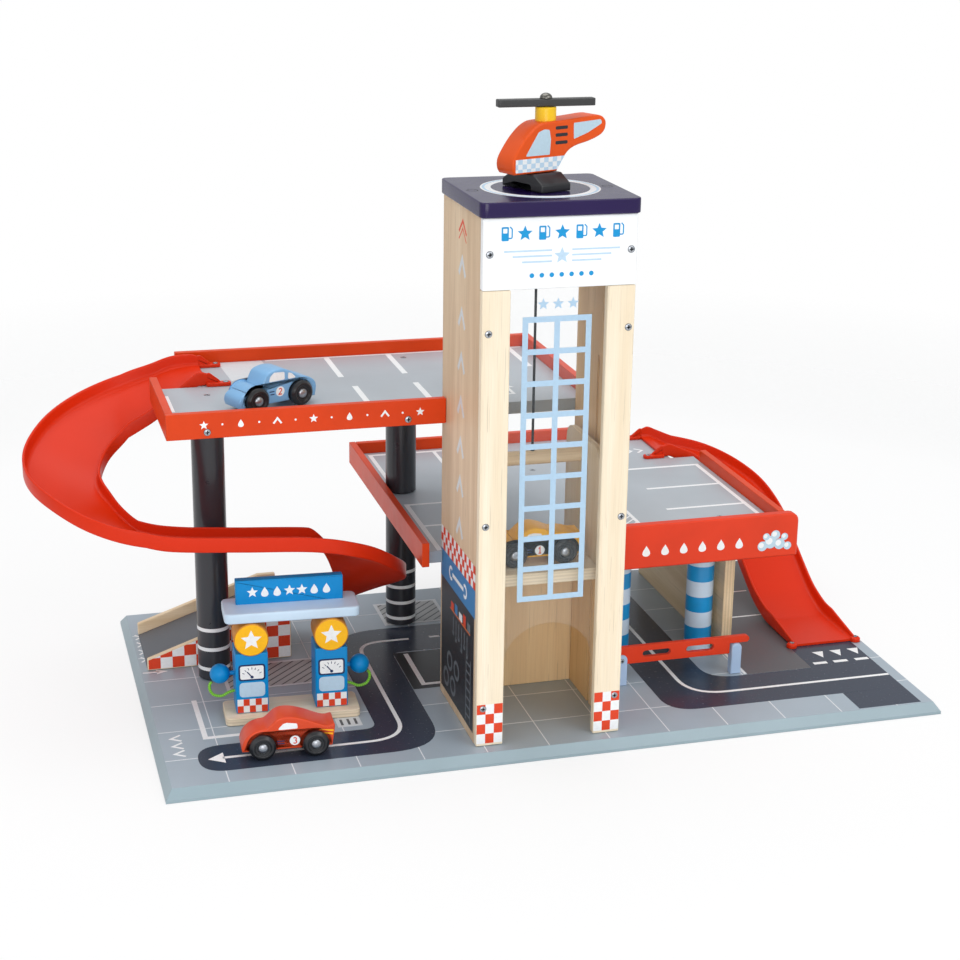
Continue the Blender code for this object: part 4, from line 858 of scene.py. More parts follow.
RED = Paint("red_rail_paint", (219, 64, 8), 0.40, 0.05, 0.25, gloss=0.22)
BRIGHT_RED = Paint("red_sign_paint", (224, 62, 30), 0.40, 0.05, 0.25, gloss=0.22)
MOULDED_RED = Moulding("red_slide_moulding", (216, 48, 14), 0.34, slot="moulded_red")
CAR_RED = Paint("red_car_paint", (218, 70, 28), 0.34, 0.15, gloss=0.3, slot="red")
CAR_BLUE = Paint("sky_blue_car_paint", (126, 178, 222), 0.33, 0.25, slot="sky_blue")
CAR_YELLOW = Paint("yellow_car_paint", (250, 182, 10), 0.36, 0.1, gloss=0.3, slot="yellow")
HELI_RED = Paint("helicopter_paint", (230, 84, 18), 0.38, 0.08, gloss=0.25, slot="red")
BLACK = Paint("black_column_paint", (46, 48, 54), 0.30, 0.3, 0.15, slot="black")
SKID_BLACK = Paint("black_skid_paint", (33, 33, 36), 0.34, 0.25, 0.15, slot="black")
ROTOR_BLACK = Paint("rotor_paint", (58, 58, 58), 0.45, 0.1, 0.3, slot="black")
TYRE = Paint("black_wheel_paint", (30, 31, 34), 0.30, 0.3, 0.10, 0.0003, slot="tyre")
MID_BLUE = Paint("pump_blue_paint", (4, 138, 206), 0.40, 0.08, 0.25, gloss=0.2, slot="blue")
PALE_BLUE = Paint("canopy_pale_blue_paint", (198, 221, 240), 0.38, 0.15, 0.2, slot="pale_blue")
POST_BLUE = Paint("barrier_post_paint", (176, 200, 230), 0.38, 0.15, 0.2, slot="pale_blue")
WHITE = Paint("white_header_paint", (246, 248, 249), 0.42, 0.1, 0.1)
AUBERGINE = Paint("aubergine_roof_paint", (34, 16, 72), 0.22, 0.18, 0.10, gloss=0.35, slot="aubergine")
MAST_YELLOW = Paint("yellow_mast_paint", (250, 200, 10), 0.36, 0.2, 0.2, slot="yellow")
OCHRE = Timber("ochre_stained_wood", (222, 150, 44), (196, 118, 22), Axis.Y, 90.0, slot="yellow")
BOARD = PrintedPanel("board_print", (163, 177, 188), (146, 166, 174))
DECK = PrintedPanel("deck_print", (176, 184, 191), (160, 168, 175), 0.38)
RAMP = PrintedPanel("ramp_print", (106, 111, 119), (96, 101, 108), 0.45)
POST_WOOD = Timber("post_wood", (250, 238, 216), (236, 216, 184), Axis.Z, 70.0, 0.7)
PANEL_WOOD = Timber("panel_wood", (234, 209, 176), (210, 180, 144), Axis.Z, 48.0, 1.0, Axis.X)
BACK_WOOD = Timber("back_panel_wood", (250, 222, 176), (234, 196, 146), Axis.Z, 48.0, 0.7, Axis.Y)
INNER_WOOD = Timber("right_panel_wood", (246, 212, 160), (226, 184, 128), Axis.Z, 48.0, 0.8, Axis.X)
TURNED_WOOD = Timber("turned_wood", (240, 216, 178), (217, 183, 138), Axis.X, 90.0, 0.9, slot="wood")
KNOB_WOOD = Timber("knob_wood", (240, 216, 178), (217, 183, 138), Axis.Y, 90.0, 0.9, slot="wood")
FLOOR_PLY = Timber("lift_floor_ply", (243, 230, 208), (226, 204, 170), Axis.X, 50.0, 0.8, Axis.Z)
SIDE_PLY = Timber("lift_side_ply", (241, 226, 200), (222, 198, 160), Axis.Z, 50.0, 0.8, Axis.X)
WALL_PLY = Timber("wash_wall_ply", (238, 215, 180), (216, 188, 146), Axis.Y, 40.0, 1.0, Axis.X)
BASE_PLY = Timber("island_ply", (243, 229, 207), (228, 206, 174), Axis.X, 60.0, 0.8, Axis.Z)
GUARD_WOOD = Timber("guard_wood", (244, 226, 196), (226, 200, 160), Axis.X, 60.0, 0.9)
CLEAR = ClearSheet("clear_window")
STEEL = Steel("screw_steel")
DARK_STEEL = Steel("dome_steel", (120, 118, 112), 0.22)
LIFT_CORD = Braid("black_braided_cord", (18, 18, 20), 1.3, 0.8, slot="cord")
HOSE_GREEN = Braid("green_hose", (126, 200, 52), 1.6, 0.42, 0.00003, slot="green")
ROLLER = Banded("striped_roller_paint", slot="blue")

INK_LANE = Ink("lane_ink", (52, 60, 76), 0.26, slot="black")
INK_LANE_GREY = Ink("lane_grey_ink", (92, 92, 96), 0.30, slot="black")
INK_BAY = Ink("bay_ink", (30, 32, 36), 0.30, slot="black")
INK_WHITE = Ink("white_ink", (242, 244, 245), 0.45)
INK_TILE = Ink("tile_line_ink", (228, 232, 235), 0.45)
INK_HATCH = Ink("hatch_grey_ink", (176, 178, 178), 0.42)
INK_HATCH_DARK = Ink("hatch_dark_ink", (76, 80, 86), 0.42)
INK_PALE = Ink("pale_patch_ink", (214, 218, 221), 0.42)
INK_RED = Ink("red_checker_ink", (224, 66, 30), 0.42, slot="red")
INK_BLUE = Ink("blue_ink", (10, 150, 212), 0.42, slot="blue")
INK_BAND_BLUE = Ink("band_blue_ink", (58, 132, 190), 0.42, slot="blue")
INK_SOFT_BLUE = Ink("soft_blue_ink", (190, 216, 236), 0.45, slot="pale_blue")
INK_WINDOW = Ink("window_grid_ink", (176, 205, 228), 0.40, slot="pale_blue")
INK_GLASS = Ink("glass_blue_ink", (190, 214, 228), 0.35, slot="pale_blue")
INK_DARK = Ink("dark_panel_ink", (44, 46, 50), 0.36, slot="black")
INK_SHAPE = Ink("grey_shape_ink", (108, 116, 122), 0.42)
INK_NAVY = Ink("navy_ink", (24, 46, 92), 0.38, slot="black")
INK_ORANGE = Ink("orange_ink", (226, 112, 36), 0.40)
INK_YELLOW = Ink("yellow_ink", (252, 188, 10), 0.42, slot="yellow")


# --------------------------------------------------------------------------- making pieces


STATION = "station"


def placed(name: str, data: bpy.types.ID) -> bpy.types.Object:
    """Put an object with its data into the scene."""
    made = bpy.data.objects.new(name, data)
    bpy.context.scene.collection.objects.link(made)
    return made


def make_piece(name: str, shape: Shape, finish: Finish, body: str, place: Place = Place(),
               stands_for: Sequence[str] = (), sharp: float = 38.0, flat: bool = False) -> bpy.types.Object:
    """Put a shape into the scene as one piece that rides on a body.

    Args:
        name: the piece's name.
        shape: its closed shape in millimetres.
        finish: what it is finished with.
        body: the body it rides on.
        place: where its frame stands.
        stands_for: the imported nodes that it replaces.
        sharp: the angle past which an edge stays sharp, in degrees.
        flat: whether its faces are shaded flat.

    Returns:
        The piece's object.
    """
    mesh = bpy.data.meshes.new(name)
    points = place.row(shape.points)
    faces = [face for group in shape.faces for face in group.tolist()]
    mesh.from_pydata(points.tolist(), [], faces)
    if shape.along is not None:
        attribute = mesh.attributes.new("along", "FLOAT", "POINT")
        attribute.data.foreach_set("value", shape.along.astype(np.float32))
    mesh.update()
    if not flat:
        mesh.shade_smooth()
        mesh.set_sharp_from_angle(angle=math.radians(sharp))
    mesh.materials.append(finish.material())
    made = placed(name, mesh)
    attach(made, body)
    if stands_for:
        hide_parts(*stands_for)
    log.info("made %s: %d points on %s", name, len(points), body)
    return made


def dress(finish: Finish, *nodes: str) -> None:
    """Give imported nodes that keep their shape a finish."""
    for node in nodes:
        for slot in bpy.data.objects[node].material_slots:
            slot.material = finish.material()
        log.info("dressed %s with %s", node, finish.name)


@dataclass
class Print:
    """Ink on one flat face: outlines and lines in the face's own two numbers, in millimetres.

    On a top face they are X and Y, on a front or back one X and Z, on a left or right one Y
    and Z. Each film starts just inside the face and stands a hair above it.
    """

    side: Side
    level: float
    films: dict[Finish, list[Shape]] = field(default_factory=dict)

    def film(self, finish: Finish, outline: Rows, coat: float = 1) -> None:
        """Lay a film of ink inside an outline; a higher coat lies over a lower one."""
        if len(outline) >= 3:
            shape = pillow(np.array(outline, dtype=float), FILM_SINK, FILM_BASE + FILM_STEP * coat, 0.0)
            self.films.setdefault(finish, []).append(self.put(shape))

    def line(self, finish: Finish, points: Rows, width: float, coat: float = 1,
             closed: bool = False) -> None:
        """Lay a line of ink: a rectangle carried along the points, turned at each to halve its bend."""
        p = np.array(points, dtype=float)
        if closed:
            before, after = p - np.roll(p, 1, axis=0), np.roll(p, -1, axis=0) - p
        else:
            before = np.diff(p, axis=0, prepend=2 * p[:1] - p[1:2])
            after = np.diff(p, axis=0, append=2 * p[-1:] - p[-2:-1])
        before, after = unit(before), unit(after)
        side = unit(left_of(before + after))
        side *= (width / 2.0) / np.maximum((side * left_of(after)).sum(axis=1, keepdims=True), 0.4)
        low, high = FILM_SINK, FILM_BASE + FILM_STEP * coat
        corners = ((-1, low), (1, low), (1, high), (-1, high))
        rows = [np.column_stack((p + sign * side, np.full(len(p), height))) for sign, height in corners]
        shape = closed_grid(np.stack(rows, axis=1), wrap_rows=closed)
        self.films.setdefault(finish, []).append(self.put(shape))

    def checkers(self, finish: Finish, box: Sequence[float], columns: int, rows: int, first: int = 0,
                 coat: int = 2, limits: Rows = ()) -> None:
        """Lay every other square of a checkered field, cut by the limits a*x + b*y <= c."""
        left, low, right, high = box
        wide, tall = (right - left) / columns, (high - low) / rows
        for column in range(columns):
            for row in range(rows):
                if (column + row + first) % 2:
                    continue
                square = rectangle(left + column * wide, low + row * tall,
                                   left + (column + 1) * wide, low + (row + 1) * tall)
                self.film(finish, clipped(square, limits), coat)

    def flag(self, box: Sequence[float], columns: int, rows: int, first: int = 0) -> None:
        """Lay a white field with red checkers."""
        self.film(INK_WHITE, rectangle(*box), 1)
        self.checkers(INK_RED, box, columns, rows, first)

    def rim(self, finish: Finish, box: Sequence[float], coat: int) -> None:
        """Lay a broad line just inside a box's edges."""
        left, low, right, high = box
        self.line(finish, rectangle(left + 1.5, low + 1.5, right - 1.5, high - 1.5), 3.0, coat, closed=True)

    def hatch(self, finish: Finish, box: Sequence[float], run_in: float, step: float, margin: float,
              coat: int) -> None:
        """Lay slanting bars in a box, clear of its edges by a margin."""
        left, low, right, high = box
        tall = high - low
        limits = ((1, 0, right - margin), (-1, 0, -left - margin),
                  (0, 1, high - margin), (0, -1, -low - margin))
        for start in np.arange(left - run_in, right, step):
            end = start + BAR_WIDTH
            bar = np.array(((start, low), (end, low), (end + tall, high), (start + tall, high)))
            self.film(finish, clipped(bar, limits), coat)

    def put(self, shape: Shape) -> Shape:
        """Move a film from its own plane on to the face."""
        a, b, h = shape.points.T
        level = self.level
        spots = {
            Side.TOP: (a, b, level + h), Side.FRONT: (a, level - h, b), Side.BACK: (a, level + h, b),
            Side.LEFT: (level - h, a, b), Side.RIGHT: (level + h, a, b),
        }
        return Shape(np.stack(spots[self.side], axis=1), shape.faces).outward()

    def make(self, name: str, body: str = STATION, place: Place = Place()) -> None:
        """Make one piece of each finish on the face."""
        for finish, shapes in self.films.items():
            make_piece(f"{name}_{finish.name}", join(shapes), finish, body, place, flat=True)


def chevron(centre: Sequence[float], width: float, height: float) -> list[Pair]:
    """Return the three points of a chevron that points up."""
    x, y = centre
    return [(x - width / 2, y - height / 2), (x, y + height / 2), (x + width / 2, y - height / 2)]


def drop(centre: Sequence[float], size: float) -> np.ndarray:
    """Return a drop's outline: a circle whose upper half is drawn up to a point."""
    t = around(40)
    wide = size * np.sin(t) * np.sin(t / 2) ** 1.5
    return np.stack([centre[0] + wide, centre[1] + size * np.cos(t)], axis=1)


def bow(first: float, last: float, wide: float, tall: float, middle: float) -> np.ndarray:
    """Return part of an ellipse above or below the origin, between two angles in degrees."""
    turn = np.radians(np.linspace(first, last, 14))
    return np.stack([wide * np.cos(turn), middle + tall * np.sin(turn)], axis=1)


def numeral(digit: int, height: float) -> list[np.ndarray]:
    """Return the strokes of a plain numeral 1, 2 or 3, each as a row of points."""
    strokes = {
        1: [np.array([(-0.45, 0.55), (0.05, 1.0), (0.05, -1.0)]), np.array([(-0.45, -1.0), (0.5, -1.0)])],
        2: [np.vstack((bow(150, -60, 0.52, 0.50, 0.48), [(-0.55, -0.95), (0.60, -0.95)]))],
        3: [bow(150, -80, 0.48, 0.46, 0.50), bow(80, -150, 0.55, 0.52, -0.48)],
    }[digit]
    return [stroke * height / 2.0 for stroke in strokes]


def set_screws(name: str, heads: Sequence[Shape]) -> None:
    """Make one piece of several screw heads on the station."""
    make_piece(name, join(heads), STEEL, STATION, sharp=25.0)


# --------------------------------------------------------------------------- the station


@dataclass
class RoadBoard:
    """The printed base board: tiles, lanes, bays, hatches and arrows."""

    width: float = 600.0
    depth: float = 331.3
    tile: float = 48.0
    first_column: float = 41.0
    first_row: float = 43.0

    def build(self) -> None:
        """Dress the board and lay its prints."""
        dress(BOARD, "base_board")
        road = Print(Side.TOP, 0.0)
        self.lay_tiles(road)
        self.lay_lanes(road)
        self.lay_bays(road)
        self.lay_marks(road)
        road.make("road")

    def lay_tiles(self, road: Print) -> None:
        """Lay the thin lines between the tiles."""
        for x in np.arange(self.first_column, self.width, self.tile):
            road.line(INK_TILE, ((x, 0.3), (x, self.depth - 0.3)), 0.8, 1)
        for y in np.arange(self.first_row, self.depth - 5.0, self.tile):
            road.line(INK_TILE, ((0.3, y), (self.width - 0.3, y)), 0.8, 1.5)

    def lay_lanes(self, road: Print) -> None:
        """Lay the dark lanes and their white middle lines."""
        corners = ((24, 18, 20.5), (205.5, 17.5, 41), (205.5, 197, 8), (390, 197, 8), (390.3, 33, 25),
                   (590.5, 31.5, 0), (590.5, 84, 0), (443, 84, 24), (443, 331, 0), (390, 331, 0),
                   (390, 249, 8), (162, 249, 44), (162, 60.5, 10), (24, 60.5, 20.5))
        lane = filleted([c[:2] for c in corners], [c[2] for c in corners], steps=10)
        road.film(INK_LANE, lane, 2)
        road.film(INK_LANE_GREY, rectangle(477.2, 84.4, 590.5, 330.8), 1.75)
        road.line(INK_WHITE, ((476.0, 86.0), (476.0, 330.5)), 2.4, 3)
        for y, end in ((201.0, 546.0), (257.5, 550.5)):
            road.line(INK_WHITE, ((496.0, y), (end, y)), 2.2, 3.5)
        road.film(INK_LANE, rectangle(537, 2, 590.5, 31.6), 2)
        road.film(INK_LANE, rectangle(534, 84, 590.5, 133), 2)
        left = filleted(((42, 39), (181, 39), (181, 222.5), (226, 222.5)), (0, 30, 24, 0), False, 10)
        road.line(INK_WHITE, left, 3.2, 3)
        road.film(INK_WHITE, ((31, 38.7), (43, 30.5), (43, 47.5)), 3)
        road.line(INK_WHITE, ((244, 222.5), (253, 222.5)), 3.2, 3)
        right = filleted(((417.3, 330), (417.3, 57.6), (590.3, 57.2)), (0, 32, 0), False, 10)
        road.line(INK_WHITE, right, 3.2, 3)
        for start, end in ((539.4, 551.5), (557.5, 570.0), (577.0, 589.0)):
            road.line(INK_WHITE, ((start, 91), (end, 91)), 4.2, 3)

    def lay_bays(self, road: Print) -> None:
        """Lay the white corner mark, the dark bay and the two hatched fields."""
        road.line(INK_WHITE, ((34, 143), (34, 74.6), (129, 74.6)), 4.0, 2)
        road.film(INK_BAY, rectangle(206, 122, 262, 195), 3)
        road.line(INK_WHITE, ((216, 192), (216, 129.8), (258, 129.8)), 4.0, 4)
        for box in ((62.0, 153.0, 160.0, 203.0), (213.0, 255.0, 270.0, 305.0)):
            self.lay_hatch(road, box)
        road.film(INK_PALE, rectangle(134, 68, 153, 84), 3)
        for x in (138.0, 143.5, 149.0):
            road.line(INK_HATCH_DARK, ((x, 71), (x, 81)), 2.0, 4)

    def lay_hatch(self, road: Print, box: Sequence[float]) -> None:
        """Lay a grey field with slanting dark lines inside a pale rim."""
        road.film(INK_HATCH, rectangle(*box), 3)
        road.hatch(INK_HATCH_DARK, box, box[3] - box[1], 9.0, 3.0, 4)
        road.rim(INK_PALE, box, 4)

    def lay_marks(self, road: Print) -> None:
        """Lay the small arrows and the plain marks that stand at the ways in and out."""
        road.line(INK_WHITE, ((1, 204.8), (14, 204.7)), 1.8, 3)
        road.film(INK_WHITE, ((12, 200.5), (21, 204.6), (12, 208.7)), 3)
        for y in (232.0, 248.0, 264.0, 280.0):
            road.line(INK_WHITE, ((2.6, y - 5), (7.0, y), (2.6, y + 5)), 1.6, 3)
        for y in (53.0, 66.0, 79.0):
            road.line(INK_WHITE, ((16, y - 5), (8.5, y), (16, y + 5)), 1.8, 3)
        for x in (553.0, 569.0, 585.0):
            road.film(INK_WHITE, ((x - 5, 113), (x + 5, 113), (x, 101)), 3)


@dataclass
class LiftTower:
    """The tower's shell: panels, posts, header, roof, clear sheet and their prints."""

    left: float = 226.4
    right: float = 339.0
    front: float = 10.2
    back: float = 116.7
    roof_low: float = 397.6
    roof_top: float = 408.4
    roof_over: float = 2.3
    square: float = 6.9
    screw_columns: Pair = (231.4, 334.6)
    screw_rows: tuple[float, ...] = (372.1, 316.0, 173.6, 30.6)

    def build(self) -> None:
        """Dress the shell, replace the roof and lay every print."""
        dress(PANEL_WOOD, "tower_left_panel")
        dress(INNER_WOOD, "tower_right_panel")
        dress(POST_WOOD, "tower_post_left", "tower_post_right")
        dress(BACK_WOOD, "tower_back_panel", "tower_back_header")
        dress(WHITE, "tower_front_header")
        dress(CLEAR, "lift_window")
        self.build_roof()
        self.print_front()
        self.print_header()
        self.print_window()
        self.print_left_side()
        self.print_right_side()
        heads = [faced(screw_head(), Side.FRONT, x, self.front, z)
                 for x in self.screw_columns for z in self.screw_rows]
        set_screws("tower_screws", heads)

    def build_roof(self) -> None:
        """Make the roof slab with its landing ring and two plugged screw holes."""
        over = self.roof_over
        outline = rounded_rectangle(self.left - over, self.front - over,
                                    self.right + over, self.back + over, 6.0)
        slab = pillow(outline, self.roof_low, self.roof_top, 0.9)
        make_piece("roof_slab", slab, AUBERGINE, STATION, stands_for=("tower_roof",))
        top = Print(Side.TOP, self.roof_top)
        for radius, width, finish, coat in ((39.4, 7.6, INK_WHITE, 1), (41.0, 2.0, INK_SOFT_BLUE, 2)):
            top.line(finish, disc((283.2, 62.3), radius, 96), width, coat, closed=True)
        for plug in ((232.5, 61.0), (332.8, 60.0)):
            top.line(INK_BAY, disc(plug, 4.0, 96), 0.5, 1, closed=True)
        top.make("roof_print")

    def print_front(self) -> None:
        """Lay the checkers at the feet of the posts."""
        feet = Print(Side.FRONT, self.front)
        for low in (self.left, self.right - 3 * self.square):
            box = (low + 0.4, 2.4, low + 3 * self.square - 0.4, 34.0)
            feet.flag(box, 3, 4, 1)
        feet.make("post_feet")

    def print_header(self) -> None:
        """Lay plain pictograms on the header: pumps and stars in a row, speed lines and drops."""
        header = Print(Side.FRONT, self.front)
        for x, kind in zip(np.linspace(243.0, 324.0, 7), (0, 1, 0, 1, 0, 1, 0)):
            if kind:
                header.film(INK_BLUE, star((x, 386.0), 5.6), 1)
            else:
                header.film(INK_BLUE, rounded_rectangle(x - 3.4, 381.2, x + 1.8, 391.0, 0.9), 1)
                header.film(INK_WHITE, rounded_rectangle(x - 2.3, 386.6, x + 0.7, 389.8, 0.5), 2)
                hose = ((x + 1.6, 383.0), (x + 4.2, 383.0), (x + 4.2, 389.4), (x + 2.6, 391.0))
                header.line(INK_BLUE, filleted(hose, 1.0, False, 3), 0.9, 1)
        for z, left, right in ((373.7, 241.6, 326.1), (369.9, 247.8, 319.8), (365.9, 254.7, 312.6)):
            header.line(INK_SOFT_BLUE, ((left, z), (276.3, z)), 1.2, 1)
            header.line(INK_SOFT_BLUE, ((291.0, z), (right, z)), 1.2, 1)
        header.film(INK_SOFT_BLUE, star((283.7, 369.6), 6.0), 1)
        for x in np.linspace(262.0, 305.5, 7):
            header.film(INK_BLUE, disc((x, 356.3), 1.7, 24), 1)
        header.make("header")

    def print_window(self) -> None:
        """Lay the pale grid of bars and three small stars on the clear sheet."""
        sheet = Print(Side.FRONT, 16.7)
        left, right, low, high, bar = 258.0, 309.2, 110.5, 325.3, 4.2
        xs = np.linspace(left + bar / 2, right - bar / 2, 3)
        zs = np.linspace(low + bar / 2, high - bar / 2, 10)
        for x in xs:
            sheet.line(INK_WINDOW, ((x, low), (x, high)), bar, 1)
        for z in zs:
            sheet.line(INK_WINDOW, ((left, z), (right, z)), bar, 2)
        for x in (273.0, 284.0, 295.0):
            sheet.film(INK_WINDOW, star((x, 334.0), 4.4), 1)
        sheet.make("window_grid")

    def print_left_side(self) -> None:
        """Lay the arrows up the left panel, the checkers, the blue band and the workshop picture."""
        panel = Print(Side.LEFT, self.left)
        for z in (353.0, 315.0, 282.0, 249.0, 218.0, 188.0, 155.0):
            panel.line(INK_PALE, chevron((63.5, z), 17.0, 12.0), 4.0, 1)
        panel.line(INK_RED, chevron((63.0, 382.0), 20.0, 9.0), 2.2, 1)
        panel.line(INK_RED, chevron((63.0, 376.5), 20.0, 9.0), 1.2, 1)
        box = (17.6, 122.0, 115.8, 140.6)
        panel.flag(box, 16, 3)
        panel.film(INK_BAND_BLUE, rectangle(17.6, 99.6, 115.8, 122.0), 1)
        self.draw_spanner(panel, (66.0, 110.8))
        panel.film(INK_DARK, rectangle(19.4, 7.2, 113.6, 99.6), 1)
        self.draw_workshop(panel)
        panel.make("left_side")

    def draw_spanner(self, panel: Print, centre: Sequence[float]) -> None:
        """Draw a plain spanner, lying flat."""
        y, z = centre
        panel.line(INK_WHITE, ((y - 16, z), (y + 16, z)), 3.2, 2)
        angle = np.radians(np.linspace(50, 310, 20))
        for way in (-1, 1):
            jaw = np.stack([y + way * (20.0 + 4.6 * np.cos(angle + np.pi)), z + 4.6 * np.sin(angle)], axis=1)
            panel.line(INK_WHITE, jaw, 2.4, 2)

    def draw_workshop(self, panel: Print) -> None:
        """Draw a plain workshop: a shelf with boxes and tins, hanging tools, a ladder and tyres."""
        panel.line(INK_ORANGE, ((30, 82), (88, 82)), 1.2, 2)
        for y, wide, tall, finish in ((34, 8, 7, INK_SHAPE), (46, 7, 9, INK_RED), (57, 9, 6, INK_WHITE),
                                      (70, 7, 8, INK_BAND_BLUE), (81, 8, 6, INK_RED)):
            panel.film(finish, rectangle(y - wide / 2, 82.8, y + wide / 2, 82.8 + tall), 2)
        for y, long in ((38, 16), (46, 12), (54, 18), (62, 12), (70, 16), (78, 13)):
            panel.line(INK_SHAPE, ((y, 78), (y, 78 - long)), 1.8, 2)
            panel.film(INK_SHAPE, rounded_rectangle(y - 2.3, 76 - long, y + 2.3, 79.5 - long, 1.0), 2)
        for centre in ((78.0, 20.0), (98.0, 20.0), (88.0, 37.0), (68.0, 37.0)):
            panel.line(INK_SHAPE, disc(centre, 6.6, 40), 3.0, 2, closed=True)
        for y in (28.0, 40.0):
            panel.line(INK_SHAPE, ((y, 10), (y, 62)), 1.5, 2)
        for z in np.arange(15.0, 60.0, 7.0):
            panel.line(INK_SHAPE, ((28, z), (40, z)), 1.4, 3)

    def print_right_side(self) -> None:
        """Lay the checkers and the blue band on the right panel, below the lower deck."""
        panel = Print(Side.RIGHT, self.right)
        box = (17.6, 2.4, 115.8, 21.6)
        panel.flag(box, 16, 3)
        panel.film(INK_BAND_BLUE, rectangle(17.6, 21.6, 115.8, 40.0), 1)
        panel.make("right_side")


@dataclass
class LiftCar:
    """The lift car, its crossbar and the cord that holds it, with the winder at the back."""

    centre_x: float = 282.7
    guide_y: float = 65.5
    floor_top: float = 129.5
    bar_height: float = 76.4
    bar_radius: float = 5.4
    inner_half: float = 40.8
    winder_x: float = 273.4
    winder_z: float = 373.3
    cord_radius: float = 1.0

    def build(self) -> None:
        """Dress the car and make the bar, cord and winder."""
        dress(FLOOR_PLY, "lift_floor")
        dress(SIDE_PLY, "lift_side_left", "lift_side_right")
        half = self.inner_half - 0.3
        bar = dowel(self.bar_radius, -half, half, 0.6, Axis.X)
        bar = bar.moved(self.centre_x, self.guide_y, self.floor_top + self.bar_height)
        make_piece("lift_bar", bar, TURNED_WOOD, "lift", stands_for=("lift_crossbar",))
        self.build_cord()
        self.build_winder()

    def build_cord(self) -> None:
        """Make the cord as a still tube, on no body, from just above the crossbar up to the winder, and a
        knot that rides on the car at its foot.
        """
        low = self.floor_top + self.bar_height + self.bar_radius + 0.3
        heights = np.linspace(low, self.winder_z, 60)
        path = np.column_stack((np.full(60, self.centre_x), np.full(60, self.guide_y), heights))
        cord = make_piece("lift_cord_braid", rod(path, self.cord_radius, 12), LIFT_CORD, STATION,
                          stands_for=("lift_cord",))
        world = cord.matrix_world.copy()
        cord.parent = None
        cord.matrix_world = world
        del cord["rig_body"]
        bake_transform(cord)
        knot = ball((0, 0, 0), 1.9, 16).moved(self.centre_x, self.guide_y, low + 0.6)
        make_piece("lift_cord_knot", knot, LIFT_CORD, "lift")

    def build_winder(self) -> None:
        """Make the drum, its windings, the shaft and the knob behind the tower."""
        half, back = 9.0, 118.7 - self.guide_y
        profile = ((3, -half - 4), (3, -half - 2), (12, -half - 2), (12, -half), (8, -half), (8, half),
                   (12, half), (12, half + 2), (3, half + 2), (3, back), (10.5, back), (12.5, back + 1.5),
                   (12.5, back + 8.5), (10.5, back + 11))
        drum = lathe(filleted(profile, 0.4, False, 3), Axis.Y)
        drum = drum.moved(self.winder_x, self.guide_y, self.winder_z)
        make_piece("lift_winder_drum", drum, KNOB_WOOD, "winder", stands_for=("lift_winder",))
        angle = np.linspace(0.0, 2.0 * np.pi * 6, 300)
        turns = np.column_stack((8.2 * np.cos(angle), np.linspace(-6.6, 0.0, 300), 8.2 * np.sin(angle)))
        wound = rod(turns, 0.55, 8).moved(self.winder_x, self.guide_y, self.winder_z)
        make_piece("lift_cord_windings", wound, LIFT_CORD, "winder")


